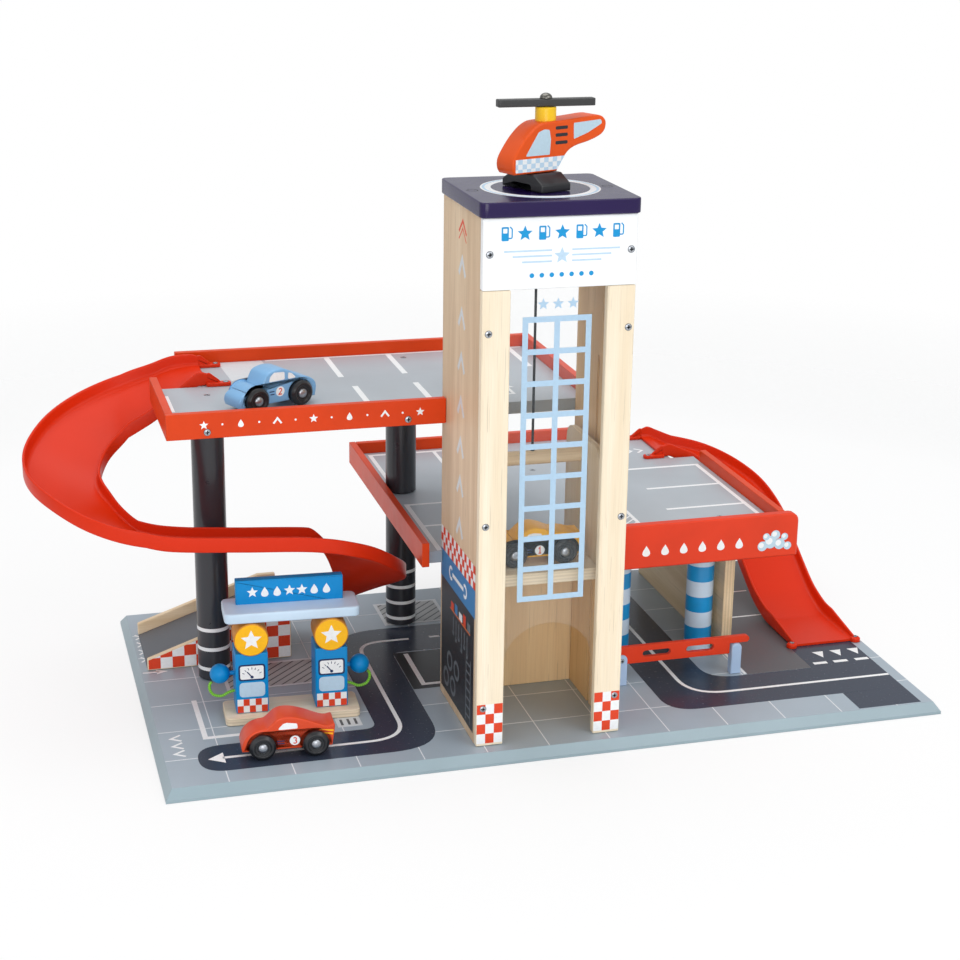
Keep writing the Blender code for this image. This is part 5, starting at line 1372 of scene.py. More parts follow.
@dataclass
class ParkingDecks:
    """The two decks with their rails, columns, sign board and parking marks."""

    upper_top: float = 234.5
    lower_top: float = 119.5
    column_radius: float = 12.8
    front_column: Pair = (56.8, 187.9)
    rear_column: Pair = (228.9, 264.1)

    def build(self) -> None:
        """Dress the decks and rails, make the columns and lay the marks."""
        dress(DECK, "upper_deck", "lower_deck")
        dress(RED, "upper_front_rail", "upper_left_rail", "upper_back_rail", "upper_right_rail",
              "lower_left_rail", "lower_back_rail", "lower_right_rail")
        dress(BRIGHT_RED, "wash_sign")
        self.build_columns()
        self.print_upper()
        self.print_lower()
        self.print_rail()
        self.print_sign()
        self.build_screws()

    def build_columns(self) -> None:
        """Turn the black columns and the white rings near their feet."""
        r = self.column_radius
        spans = (("front_column", self.front_column, 0.3, 224.7),
                 ("rear_lower_column", self.rear_column, 0.3, 109.7),
                 ("rear_upper_column", self.rear_column, 119.8, 224.7))
        for name, (x, y), low, high in spans:
            make_piece(name + "_turned", dowel(r, low, high, 0.8, sides=96).moved(x, y), BLACK, STATION,
                       stands_for=(name,))
        rings = (("front_column_rings", self.front_column, (43.7, 27.2, 10.2), 3.0),
                 ("rear_column_rings", self.rear_column, (49.2, 35.4, 21.0, 6.8), 2.8))
        for name, (x, y), heights, wide in rings:
            band = lathe(rectangle(r - 0.1, -wide / 2, r + 0.09, wide / 2), sides=96, ring=True)
            bands = [band.moved(x, y, z) for z in heights]
            make_piece(name, join(bands), INK_WHITE, STATION)

    def print_upper(self) -> None:
        """Lay the upper deck's bay lines, border and pale patch by the slide."""
        deck = Print(Side.TOP, self.upper_top)
        deck.film(INK_PALE, ((82, 224), (118, 250), (115, 283.2), (79, 283.2)), 1)
        deck.line(INK_WHITE, ((118, 281.6), (338, 281.6)), 3.0, 2)
        for x in (168.9, 221.4, 274.0, 326.5):
            deck.line(INK_WHITE, ((x, 217.5), (x, 281.6)), 4.6, 3)
        for x in (173.8, 222.9):
            deck.line(INK_WHITE, ((x, 142.5), (x, 188.5)), 4.6, 3)
        deck.line(INK_WHITE, ((26.6, 146), (26.6, 191)), 3.2, 3)
        deck.line(INK_WHITE, ((276, 140), (290, 140), (290, 160)), 2.4, 3)
        deck.film(INK_WHITE, ((284.5, 158), (295.5, 158), (290, 168)), 3)
        deck.make("upper_deck_marks")

    def print_lower(self) -> None:
        """Lay the lower deck's border, bay lines, hatched corner and arrow."""
        deck = Print(Side.TOP, self.lower_top)
        deck.line(INK_WHITE, ((345, 273), (501.8, 273), (501.8, 131)), 3.6, 2)
        for y, left in ((218.0, 434.4), (164.0, 431.7)):
            deck.line(INK_WHITE, ((left, y), (500, y)), 3.2, 3)
        deck.line(INK_WHITE, ((224.4, 113.5), (224.4, 226)), 4.0, 2)
        for y in (224.0, 170.5):
            deck.line(INK_WHITE, ((226, y), (284, y)), 3.2, 3)
        deck.line(INK_WHITE, ((224.5, 289), (224.5, 364.5), (340, 364.5)), 3.6, 2)
        deck.line(INK_WHITE, ((283, 329), (283, 364)), 3.2, 3)
        box = (352.0, 118.0, 398.8, 169.0)
        deck.rim(INK_WHITE, box, 3)
        deck.hatch(INK_WHITE, box, 50.0, 8.0, 2.0, 2)
        for x in (446.0, 456.0, 466.0):
            deck.line(INK_WHITE, ((x - 3, 318), (x + 3, 324), (x - 3, 330)), 2.0, 2)
        deck.make("lower_deck_marks")

    def print_rail(self) -> None:
        """Lay plain pictograms and dots along the upper deck's front rail."""
        rail = Print(Side.FRONT, 104.2)
        z = 235.3
        for x, kind in zip(np.linspace(44, 206, 13), (0, 3, 1, 3, 2, 3, 0, 3, 1, 3, 2, 3, 0)):
            if kind == 0:
                rail.film(INK_WHITE, star((x, z), 3.4), 1)
            elif kind == 1:
                rail.film(INK_WHITE, drop((x, z), 3.0), 1)
            elif kind == 2:
                rail.line(INK_WHITE, chevron((x, z), 6.0, 4.0), 1.4, 1)
            else:
                rail.film(INK_WHITE, disc((x, z), 0.8, 16), 1)
        rail.make("front_rail_marks")

    def print_sign(self) -> None:
        """Lay drops and soap bubbles on the car wash sign."""
        sign = Print(Side.FRONT, 104.0)
        for x in (392.0, 408.0, 424.0, 440.0, 456.0, 472.0):
            sign.film(INK_WHITE, drop((x, 107.5), 4.6), 1)
        for left in (487.5, 340.6):
            self.draw_foam(sign, left, 1.0 if left > 400 else -1.0)
        sign.make("wash_sign_marks")

    def draw_foam(self, sign: Print, left: float, way: float) -> None:
        """Draw a heap of bubbles: pale discs with a bright one in front of each."""
        spots = ((5, 103, 4.2), (12, 106, 5.4), (20, 104, 4.6), (27, 102, 3.4), (16, 112, 4.0), (8, 111, 3.0),
                 (24, 110, 3.0))
        for number, (x, z, radius) in enumerate(spots):
            if way < 0 and x > 9:
                continue
            coat = 1.0 + number
            sign.film(INK_GLASS, disc((left + x, z), radius, 32), coat)
            gleam = (left + x - radius * 0.25, z + radius * 0.2)
            sign.film(INK_WHITE, disc(gleam, radius * 0.55, 24), coat + 0.5)

    def build_screws(self) -> None:
        """Set the screws in the front rail and the decks."""
        heads = [faced(screw_head(), Side.FRONT, x, 104.2, 229.8) for x in (46.3, 196.8)]
        for x, y, z in ((57.7, 188.2, self.upper_top), (231.9, 267.8, self.upper_top),
                        (468.1, 136.7, self.lower_top), (354.4, 291.0, self.lower_top)):
            heads.append(screw_head(2.2, 0.5, 0.4).moved(x, y, z))
        set_screws("deck_screws", heads)


@dataclass
class Slide:
    """A moulded channel carried along straight legs and turns, falling by its own table.

    Its left side lies below its right side by the lean, read from a table of its own.
    """

    name: str
    start: Pair
    heading: float
    legs: Pairs
    top: float
    foot: float
    fall: Pairs
    end_slope: float
    lean: Pairs = ((0.0, 0.0), (1.0, 0.0))
    half: float = 29.0
    wall: float = 2.2
    floor: float = 2.0
    wall_height: float = 10.0
    low_wall: float = 3.0
    mouth_rise: Pairs = ((0.0, 0.75), (5.0, 0.95), (16.0, 1.0), (900.0, 1.0))

    def plan(self, count: int) -> tuple[np.ndarray, np.ndarray, np.ndarray, float]:
        """Walk the legs over the ground.

        The heading is the running sum of each leg's turning, and the point is the running
        sum of the heading's direction.

        Args:
            count: how many points to return.

        Returns:
            Points, unit headings, the share of the way at each, and the whole length.
        """
        lengths = np.array([size if turn == 0 else abs(math.radians(turn)) * size
                            for size, turn in self.legs])
        bends = np.array([0.0 if turn == 0 else math.radians(turn) / length
                          for (size, turn), length in zip(self.legs, lengths)])
        total = float(lengths.sum())
        fine = np.linspace(0.0, total, 8001)
        leg = np.searchsorted(np.cumsum(lengths), fine[:-1] + total / 16000, side="right")
        leg = np.clip(leg, 0, len(bends) - 1)
        step = total / 8000
        angle = math.radians(self.heading) + np.concatenate(([0.0], np.cumsum(bends[leg] * step)))
        middle = (angle[1:] + angle[:-1]) / 2.0
        x = self.start[0] + np.concatenate(([0.0], np.cumsum(np.cos(middle) * step)))
        y = self.start[1] + np.concatenate(([0.0], np.cumsum(np.sin(middle) * step)))
        share = np.linspace(0.0, 1.0, count)
        at = share * total
        points = np.column_stack((np.interp(at, fine, x), np.interp(at, fine, y)))
        way = np.interp(at, fine, angle)
        return points, np.column_stack((np.cos(way), np.sin(way))), share, total

    def level(self, share: np.ndarray) -> np.ndarray:
        """Read the height: a smooth curve through the fall table that never rises."""
        along, down = (np.array(column) for column in zip(*self.fall))
        slope = np.diff(down) / np.diff(along)
        tangent = np.zeros(len(along))
        both = slope[:-1] * slope[1:]
        tangent[1:-1] = np.where(both > 0, 2 * both / np.maximum(slope[:-1] + slope[1:], 1e-9), 0.0)
        i = np.clip(np.searchsorted(along, share, side="right") - 1, 0, len(along) - 2)
        width = along[i + 1] - along[i]
        t = (share - along[i]) / width
        done = ((2 * t ** 3 - 3 * t ** 2 + 1) * down[i] + (t ** 3 - 2 * t ** 2 + t) * width * tangent[i]
                + (3 * t ** 2 - 2 * t ** 3) * down[i + 1] + (t ** 3 - t ** 2) * width * tangent[i + 1])
        return self.top + (self.foot - self.top) * done

    def eased(self, values: np.ndarray, reach: int) -> np.ndarray:
        """Round the corners of a row of values: each becomes a bell-weighted mean of its neighbours."""
        bell = np.hanning(2 * reach + 3)[1:-1]
        inner = np.convolve(np.pad(values, reach, mode="edge"), bell / bell.sum(), "valid")
        hold = np.clip(np.arange(len(values)) / (3.0 * reach), 0.0, 1.0)
        return values * (1.0 - hold) + inner * hold

    def section(self, rise: np.ndarray) -> np.ndarray:
        """Return the channel's outline for each wall height, as row, point, (across, up).

        It runs round the floor's underside, up the right wall, over its round lip, down the
        inside with a fillet into the floor, and back over the left wall.

        Args:
            rise: the walls' height above the floor at each row.

        Returns:
            The outlines.
        """
        half, wall, floor = self.half, self.wall, self.floor
        lip = wall / 2.0
        quarter = np.radians(np.linspace(0, 90, 5))
        over = np.radians(np.linspace(0, 180, 9))
        top = floor + rise[:, None]
        soft = np.minimum(3.0, rise[:, None] * 0.6)
        under = 1.4
        same = np.ones((len(rise), 1))
        across = np.concatenate((same * (half - under + under * np.sin(quarter)),
                                 same * (half - lip + lip * np.cos(over)),
                                 half - wall - soft + soft * np.cos(quarter)), axis=1)
        up = np.concatenate((same * (under - under * np.cos(quarter)), top + (np.sin(over) * lip - lip),
                             floor + soft - soft * np.sin(quarter)), axis=1)
        return np.stack((np.concatenate((across, -across[:, ::-1]), axis=1),
                         np.concatenate((up, up[:, ::-1]), axis=1)), axis=-1)

    def build(self) -> tuple[np.ndarray, np.ndarray, np.ndarray]:
        """Make the channel and return its points, headings and heights."""
        points, way, share, total = self.plan(260)
        height = self.eased(self.level(share), 4)
        rise = np.interp(share * total, *zip(*self.mouth_rise)) * self.wall_height
        rise = np.minimum(rise, self.low_wall + (1.0 - share) * total * self.end_slope)
        outline = self.section(rise)
        across, up = outline[..., 0], outline[..., 1]
        lean = self.eased(np.interp(share, *zip(*self.lean)), 9)
        drop_by = lean[:, None] * (self.half - across) / (2.0 * self.half)
        grid = np.stack((points[:, :1] + way[:, 1:] * across, points[:, 1:] - way[:, :1] * across,
                         height[:, None] + up - drop_by), axis=-1)
        make_piece(self.name + "_channel", closed_grid(grid), MOULDED_RED, STATION,
                   stands_for=(self.name,), sharp=50.0)
        return points, way, height


@dataclass
class Slides:
    """Both slides with the ears and toes that hold them."""

    def build(self) -> None:
        """Make the long slide, the short one and their fastenings."""
        left = Slide("left_slide", (62.0, 243.0), 180.0,
                     ((63.0, 0), (53.5, 180), (132.1, 0), (53.5, 180), (13.0, 0)), 234.8, 35.9,
                     ((0.00, 0.000), (0.0145, 0.000), (0.039, 0.004), (0.072, 0.033), (0.101, 0.055),
                      (0.145, 0.107), (0.193, 0.175), (0.230, 0.233), (0.276, 0.287), (0.332, 0.341),
                      (0.375, 0.404), (0.412, 0.450), (0.457, 0.486), (0.553, 0.511), (0.665, 0.538),
                      (0.709, 0.591), (0.766, 0.724), (0.825, 0.850), (0.900, 0.980), (0.946, 1.000),
                      (1.00, 1.000)), 0.6,
                     ((0.00, 0.0), (0.0145, 0.0), (0.037, 10.5), (0.085, 21.5), (0.112, 25.5), (0.141, 26.0),
                      (0.206, 20.0), (0.276, 12.5), (0.350, 10.0), (0.395, 9.2), (0.496, 11.5), (0.632, 11.6),
                      (0.709, 10.5), (0.814, 3.5), (0.900, 0.0), (1.00, 0.0)))
        right = Slide("right_slide", (480.0, 330.0), 0.0, ((30.3, 0), (55.0, -90), (148.0, 0)), 119.8, 0.3,
                      ((0.00, 0.000), (0.023, 0.000), (0.053, 0.030), (0.109, 0.085), (0.196, 0.160),
                       (0.326, 0.340), (0.435, 0.560), (0.587, 0.800), (0.706, 0.945), (0.804, 0.995),
                       (1.00, 1.000)), 0.16)
        left.build()
        right.build()
        self.build_ears()
        self.build_toes()

    def build_ears(self) -> None:
        """Make the four ears: each a wall that slopes down from the mouth to a screwed pad."""
        ears, heads = [], []
        for mouth_x, mouth_y, way, deck in ((62.0, 243.0, 1.0, 234.5), (480.0, 330.0, -1.0, 119.5)):
            for side in (-1.0, 1.0):
                wall_y = mouth_y + side * 27.9
                slope = filleted(((-5.0, 1.0), (-5.0, 9.4), (1.5, 10.4), (9.0, 4.4), (12.0, 0.5)),
                                 (0.4, 0.6, 2.0, 2.5, 0.2), steps=5)
                points = slope * np.array((way, 1.0)) + np.array((mouth_x, deck))
                ears.append(pillow(points, wall_y - 0.95, wall_y + 0.95, 0.5, Axis.Y))
                edges = sorted((mouth_y + side * 33.0, mouth_y + side * 25.6))
                ends = sorted((mouth_x - way * 1.5, mouth_x + way * 18.0))
                pad = rounded_rectangle(ends[0], edges[0], ends[1], edges[1], 3.0)
                ears.append(pillow(pad, deck + 0.1, deck + 2.9, 0.6))
                head = screw_head(2.1, 0.7, 0.5)
                heads.append(head.moved(mouth_x + way * 14.0, mouth_y + side * 29.3, deck + 2.9))
        make_piece("slide_ears", join(ears), MOULDED_RED, STATION)
        set_screws("slide_ear_screws", heads)

    def build_toes(self) -> None:
        """Make the two round toes that hold the short slide to the board."""
        toes, heads = [], []
        for x, y in ((536.0, 127.0), (594.6, 127.0)):
            t = np.linspace(0.0, np.pi / 2, 10)
            dome = np.column_stack((4.4 * np.cos(t), 2.4 + 2.2 * np.sin(t)))
            toes.append(lathe(np.vstack(((4.4, 0.3), dome[:-2], (0.9, 4.55))), sides=40).moved(x, y, 0.0))
            heads.append(screw_head(1.9, 0.6, 0.45).moved(x, y, 4.4))
        make_piece("slide_toes", join(toes), MOULDED_RED, STATION)
        set_screws("slide_toe_screws", heads)


@dataclass
class Ramp:
    """The ramp's bed, guards and checkers."""

    left: float = 5.6
    right: float = 123.1
    knee: float = 108.1
    height: float = 35.6
    guard: float = 9.8
    front: float = 208.4
    back: float = 289.7

    def build(self) -> None:
        """Dress the ramp and lay the checkers on the near guard's outer face."""
        dress(RAMP, "ramp_bed")
        dress(GUARD_WOOD, "ramp_near_guard", "ramp_far_guard")
        slope = self.height / (self.knee - self.left)
        limits = ((-slope, 1.0, self.guard - 0.9 - slope * self.left),
                  (0.0, 1.0, self.height + self.guard - 0.9))
        for name, side, level in (("near_guard", Side.FRONT, self.front),
                                  ("far_guard", Side.BACK, self.back)):
            face = Print(side, level)
            white = rectangle(self.left + 0.7, 1.2, self.right - 0.7, self.height + self.guard - 0.9)
            face.film(INK_WHITE, clipped(white, limits), 1)
            box = (self.left + 0.7, 1.2, self.left + 0.7 + 12 * 9.65, 1.2 + 5 * 9.4)
            face.checkers(INK_RED, box, 12, 5, 0, 2, (*limits, (1.0, 0.0, self.right - 0.7)))
            face.make(name)


@dataclass
class CarWash:
    """The wall and the two striped rollers."""

    roller_radius: float = 11.3
    rollers: tuple[tuple[str, float], ...] = (("wash_roller_left", 383.4), ("wash_roller_right", 457.0))
    roller_y: float = 145.0

    def build(self) -> None:
        """Dress the wall and turn the rollers."""
        dress(WALL_PLY, "wash_wall")
        r = self.roller_radius
        profile = filleted(((2.5, -4.0), (2.5, 0.4), (r, 0.4), (r, 109.6), (2.5, 109.6), (2.5, 114.0)),
                           0.8, False, 4)
        for (node, x), body in zip(self.rollers, ("roller_left", "roller_right")):
            make_piece(node + "_turned", lathe(profile, sides=80).moved(x, self.roller_y), ROLLER,
                       body, stands_for=(node,))


@dataclass
class Barrier:
    """The barrier's arm and its two posts."""

    post_xs: Pair = (369.0, 468.0)
    middle_y: float = 91.3
    width: float = 8.8
    depth: float = 7.6
    height: float = 26.5

    def build(self) -> None:
        """Dress the arm, make the right post rounded and pin the left one."""
        dress(BRIGHT_RED, "barrier_arm")
        dress(POST_BLUE, "barrier_post_left")
        half = self.width / 2
        outline = filleted(rectangle(-half, 0.3, half, self.height), (0, 0, 4.2, 4.2))
        post = pillow(outline, -self.depth / 2, self.depth / 2, 0.8, Axis.Y)
        make_piece("barrier_rest_post", post, POST_BLUE, STATION,
                   Place(self.post_xs[1], self.middle_y, 0.0), ("barrier_post_right",))
        pins = [faced(screw_head(1.7, 0.5, 0.35), side, self.post_xs[0], y, 21.8)
                for side, y in ((Side.FRONT, self.middle_y - 3.8), (Side.BACK, self.middle_y + 3.8))]
        set_screws("barrier_pin_heads", pins)


@dataclass
class PumpIsland:
    """The loose island: base, pumps with round tops, canopy and sign, nozzles and hoses."""

    place: Place = Place(104.2, 103.4, 0.3, -3.5)
    pump_half: float = 12.4
    pump_front: float = -9.1
    pump_depth: float = 26.0
    pump_low: float = 6.3
    pump_high: float = 55.3
    spacing: float = 60.8
    disc_radius: float = 13.2
    disc_depth: float = 22.0
    ball_radius: float = 7.6
    ball_z: float = 35.0
    ball_y: float = 4.0
    standoff: float = 3.4
    hose_radius: float = 1.1

    def build(self) -> None:
        """Dress the base and make everything that stands on it."""
        dress(BASE_PLY, "island_base")
        for label, side in (("left", -1.0), ("right", 1.0)):
            self.build_pump(label, side)
            self.build_nozzle(label, side)
        self.build_canopy()

    def put(self, name: str, shape: Shape, finish: Finish, node: str) -> None:
        """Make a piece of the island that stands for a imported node."""
        make_piece(name, shape, finish, "island", self.place, (node,))

    def build_pump(self, label: str, side: float) -> None:
        """Make one pump with its disc, and print its front."""
        x = side * self.spacing / 2
        half, front = self.pump_half, self.pump_front
        box = rounded_rectangle(x - half, front, x + half, front + self.pump_depth, 1.2)
        case = pillow(box, self.pump_low, self.pump_high, 0.9)
        self.put(f"pump_{label}_case", case, MID_BLUE, f"pump_{label}")
        centre = self.pump_high + self.disc_radius - 2.0
        r, near = self.disc_radius, front - 1.0
        profile = filleted(rectangle(0.1, near, r, near + self.disc_depth), 1.0, False, 5)
        barrel = lathe(profile, Axis.Y, 80).moved(x, 0.0, centre)
        self.put(f"pump_{label}_disc", barrel, OCHRE, f"pump_{label}")
        face = Print(Side.FRONT, near)
        face.film(INK_YELLOW, disc((x, centre), r - 0.9, 72), 1)
        face.film(INK_WHITE, star((x, centre), 8.2, 5, 0.46), 2)
        face.make(f"pump_{label}_star", "island", self.place)
        back = Print(Side.BACK, near + self.disc_depth)
        back.film(INK_YELLOW, disc((x, centre), r - 0.9, 72), 1)
        back.make(f"pump_{label}_back", "island", self.place)
        self.print_pump(label, x)

    def print_pump(self, label: str, x: float) -> None:
        """Print the gauge, the pale panel and the checkers on one pump."""
        face = Print(Side.FRONT, self.pump_front)
        face.film(INK_NAVY, rounded_rectangle(x - 10.2, 33.0, x + 10.2, 46.4, 2.6), 1)
        face.film(INK_WHITE, rounded_rectangle(x - 8.9, 34.3, x + 8.9, 45.1, 1.8), 2)
        angle = np.radians(np.linspace(28, 152, 7))
        for a in angle:
            inner, outer = 6.4, 8.2
            face.line(INK_NAVY, ((x + inner * math.cos(a), 35.8 + inner * math.sin(a)),
                                 (x + outer * math.cos(a), 35.8 + outer * math.sin(a))), 0.5, 3)
        face.line(INK_NAVY, ((x, 36.0), (x - 3.6, 40.4)), 0.9, 3)
        face.film(INK_NAVY, disc((x, 36.0), 1.2, 20), 4)
        face.film(INK_SOFT_BLUE, rounded_rectangle(x - 9.7, 19.6, x + 9.7, 31.6, 3.4), 1)
        box = (x - self.pump_half + 0.9, 6.9, x + self.pump_half - 0.9, 17.9)
        face.flag(box, 5, 2)
        face.make(f"pump_{label}_front", "island", self.place)

    def build_nozzle(self, label: str, side: float) -> None:
        """Make the ball on its pin and the hose that loops back to the pump's foot."""
        face = side * (self.spacing / 2 + self.pump_half)
        centre = face + side * (self.standoff + self.ball_radius)
        pin = np.array(((centre, self.ball_y, self.ball_z), (face - side * 5.5, self.ball_y, self.ball_z)))
        path = pin[0] + (pin[1] - pin[0]) * np.linspace(0.2, 1.0, 6)[:, None]
        parts = join([ball((centre, self.ball_y, self.ball_z), self.ball_radius), rod(path, 1.7, 20)])
        make_piece(f"nozzle_{label}_ball", parts, MID_BLUE, f"nozzle_{label}", self.place,
                   (f"nozzle_{label}",))
        reach = self.ball_radius + self.hose_radius + 0.3
        foot, low = 20.0, 20.0 - 4 * self.hose_radius
        route = ((face - side * 6.5, foot), (face - side * 3.5, foot), (face + side * 1.0, foot),
                 (face + side * 5.0, foot - 1.2), (centre - side, low + 0.8),
                 (centre + side * 5.0, low + 2.2), (centre + side * reach * 0.86, foot + 2.0),
                 (centre + side * reach * 0.88, foot + 6.2),
                 (centre + side * reach * 0.72, self.ball_z - reach * 0.72))
        points = smoothed([(x, self.ball_y, z) for x, z in route], 60)
        hose = make_piece(f"hose_{label}_tube", rod(points, self.hose_radius, 16), HOSE_GREEN,
                          f"nozzle_{label}", self.place, (f"hose_{label}",))
        row = self.place.row(points)

    def build_canopy(self) -> None:
        """Make the canopy board and the sign that stands on it."""
        low = self.pump_high + 2 * self.disc_radius - 2.0 + 0.3
        near = self.pump_front - 1.0
        outline = rounded_rectangle(-50.0, near, 53.0, near + 35.0, 5.5)
        self.put("canopy_board", pillow(outline, low, low + 8.0, 1.4), PALE_BLUE, "pump_canopy")
        front = near + 19.5
        outline = rounded_rectangle(-39.7, low + 4.0, 42.3, low + 8.0 + 19.2, 0.8)
        self.put("canopy_sign", pillow(outline, front, front + 8.0, 0.9, Axis.Y), MID_BLUE, "pump_canopy")
        face = Print(Side.FRONT, front)
        middle = low + 8.0 + 9.4
        for x in np.linspace(-27.0, 29.6, 7):
            face.film(INK_WHITE, star((x, middle), 4.4) if int(round(x)) % 2 else drop((x, middle), 4.0), 1)
        face.make("canopy_sign_marks", "island", self.place)


@dataclass
class Helicopter:
    """The helicopter on the roof: skids, body with mast and dome, rotor, windows and vents."""

    place: Place = Place(286.3, 63.8, 408.7, 22.0)
    mast_from_nose: float = 35.7
    thickness: float = 19.0
    belly: float = 12.1
    outline: Pairs = (
        (1.6, 0.0), (-0.3, 3.1), (-0.8, 7.6), (0.7, 12.1), (5.0, 18.4), (9.0, 23.3), (13.4, 27.7),
        (18.0, 31.3), (23.3, 34.0), (29.0, 35.0), (45.0, 35.6), (60.0, 36.4), (74.8, 37.2), (80.3, 36.3),
        (83.8, 33.7), (84.8, 30.3), (83.5, 25.8), (79.0, 22.3), (69.2, 19.2), (58.0, 17.0), (51.5, 14.5),
        (47.0, 10.7), (43.2, 5.4), (39.6, 0.0))

    def local(self, points: Rows) -> np.ndarray:
        """Move side-view points from the nose and belly to the mast and the roof."""
        return np.array(points, dtype=float) + np.array((-self.mast_from_nose, self.belly))

    def build(self) -> None:
        """Make the body, mast, skids and rotor and print both sides."""
        half = self.thickness / 2
        curve = self.local(smoothed(self.outline, 150))
        self.put("hull", pillow(curve, -half, half, 1.3, Axis.Y), HELI_RED, sharp=45.0)
        back = self.belly + 35.0
        profile = filleted(((7.5, back - 3), (7.5, back + 9.6), (2.0, back + 9.6), (2.0, back + 14.6)),
                           0.5, False, 4)
        self.put("mast", lathe(profile, sides=64), MAST_YELLOW)
        t = np.linspace(0.0, np.pi / 2 - 0.01, 14)
        low = back + 9.6 + 0.4 + 5.3 + 0.4
        dome = np.column_stack((4.5 * np.cos(t), low + 3.6 * np.sin(t)))
        self.put("dome", lathe(np.vstack(((3.6, low - 0.3), dome)), sides=48), DARK_STEEL)
        self.build_skids()
        self.build_rotor(back + 10.0)
        for side, level, name in ((Side.FRONT, -half, "near"), (Side.BACK, half, "far")):
            self.print_side(Print(side, level), name)

    def put(self, name: str, shape: Shape, finish: Finish, node: str = "body", sharp: float = 38.0) -> None:
        """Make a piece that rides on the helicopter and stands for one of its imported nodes."""
        make_piece("helicopter_" + name, shape, finish, "helicopter", self.place,
                   ("helicopter_" + node,), sharp)

    def build_skids(self) -> None:
        """Make the skid block: a sloping section across the body, with its slot beneath."""
        section = ((-22.5, 0.0), (-9.5, 0.0), (-9.5, 3.6), (9.5, 3.6), (9.5, 0.0), (22.5, 0.0), (22.5, 5.3),
                   (12.0, 11.8), (-12.0, 11.8), (-22.5, 5.3))
        outline = filleted(section, (0.8, 0.5, 2.0, 2.0, 0.5, 0.8, 2.2, 1.6, 1.6, 2.2), steps=4)
        block = pillow(outline, -7.2 - 13.25, -7.2 + 13.25, 0.9, Axis.X)
        self.put("skid_block", block, SKID_BLACK, "skids")

    def build_rotor(self, low: float) -> None:
        """Make the rotor bar with its round bore."""
        bar = pillow(rounded_rectangle(-36.2, -4.0, 36.2, 4.0, 1.4), low, low + 5.3, 0.6)
        place = Place(self.place.x, self.place.y, self.place.z, 2.0)
        make_piece("helicopter_rotor_bar", bar, ROTOR_BLACK, "rotor", place,
                   ("helicopter_rotor",))

    def print_side(self, face: Print, name: str) -> None:
        """Print the windows, vents and belly checkers on one side."""
        cabin = filleted(((10.6, 12.4), (22.0, 28.6), (27.0, 30.2), (31.8, 29.8), (33.2, 23.0), (32.4, 12.2)),
                         (0.8, 3.0, 2.0, 1.6, 2.0, 0.6))
        face.film(INK_GLASS, self.local(cabin), 1)
        tail = filleted(((54.0, 33.0), (79.6, 34.0), (80.4, 31.0), (67.2, 25.2), (54.4, 21.6)),
                        (0.6, 1.6, 1.4, 3, 0.6))
        face.film(INK_GLASS, self.local(tail), 1)
        for z in (30.5, 25.5, 20.1):
            face.film(INK_DARK, self.local(rounded_rectangle(37.4, z - 1.2, 48.6, z + 1.2, 1.15)), 1)
        corner = self.local([(0.0, 0.0)])[0]
        limits = ((-1.0, 0.0, -(1.9 + corner[0])), (1.0, -0.72, 38.6 + corner[0] - 0.72 * corner[1]),
                  (0.0, -1.0, -(1.4 + corner[1])), (-1.0, -0.62, -(3.1 + corner[0]) - 0.62 * corner[1]))
        white = rectangle(*corner, *self.local([(48.0, 10.6)])[0])
        face.film(INK_WHITE, clipped(white, limits), 1)
        low, high = self.local([(0.2, 0.2), (47.0, 10.6)])
        face.checkers(INK_SOFT_BLUE, (*low, *high), 12, 3, 1, 2, limits)
        face.make(f"helicopter_{name}_side", "helicopter", self.place)


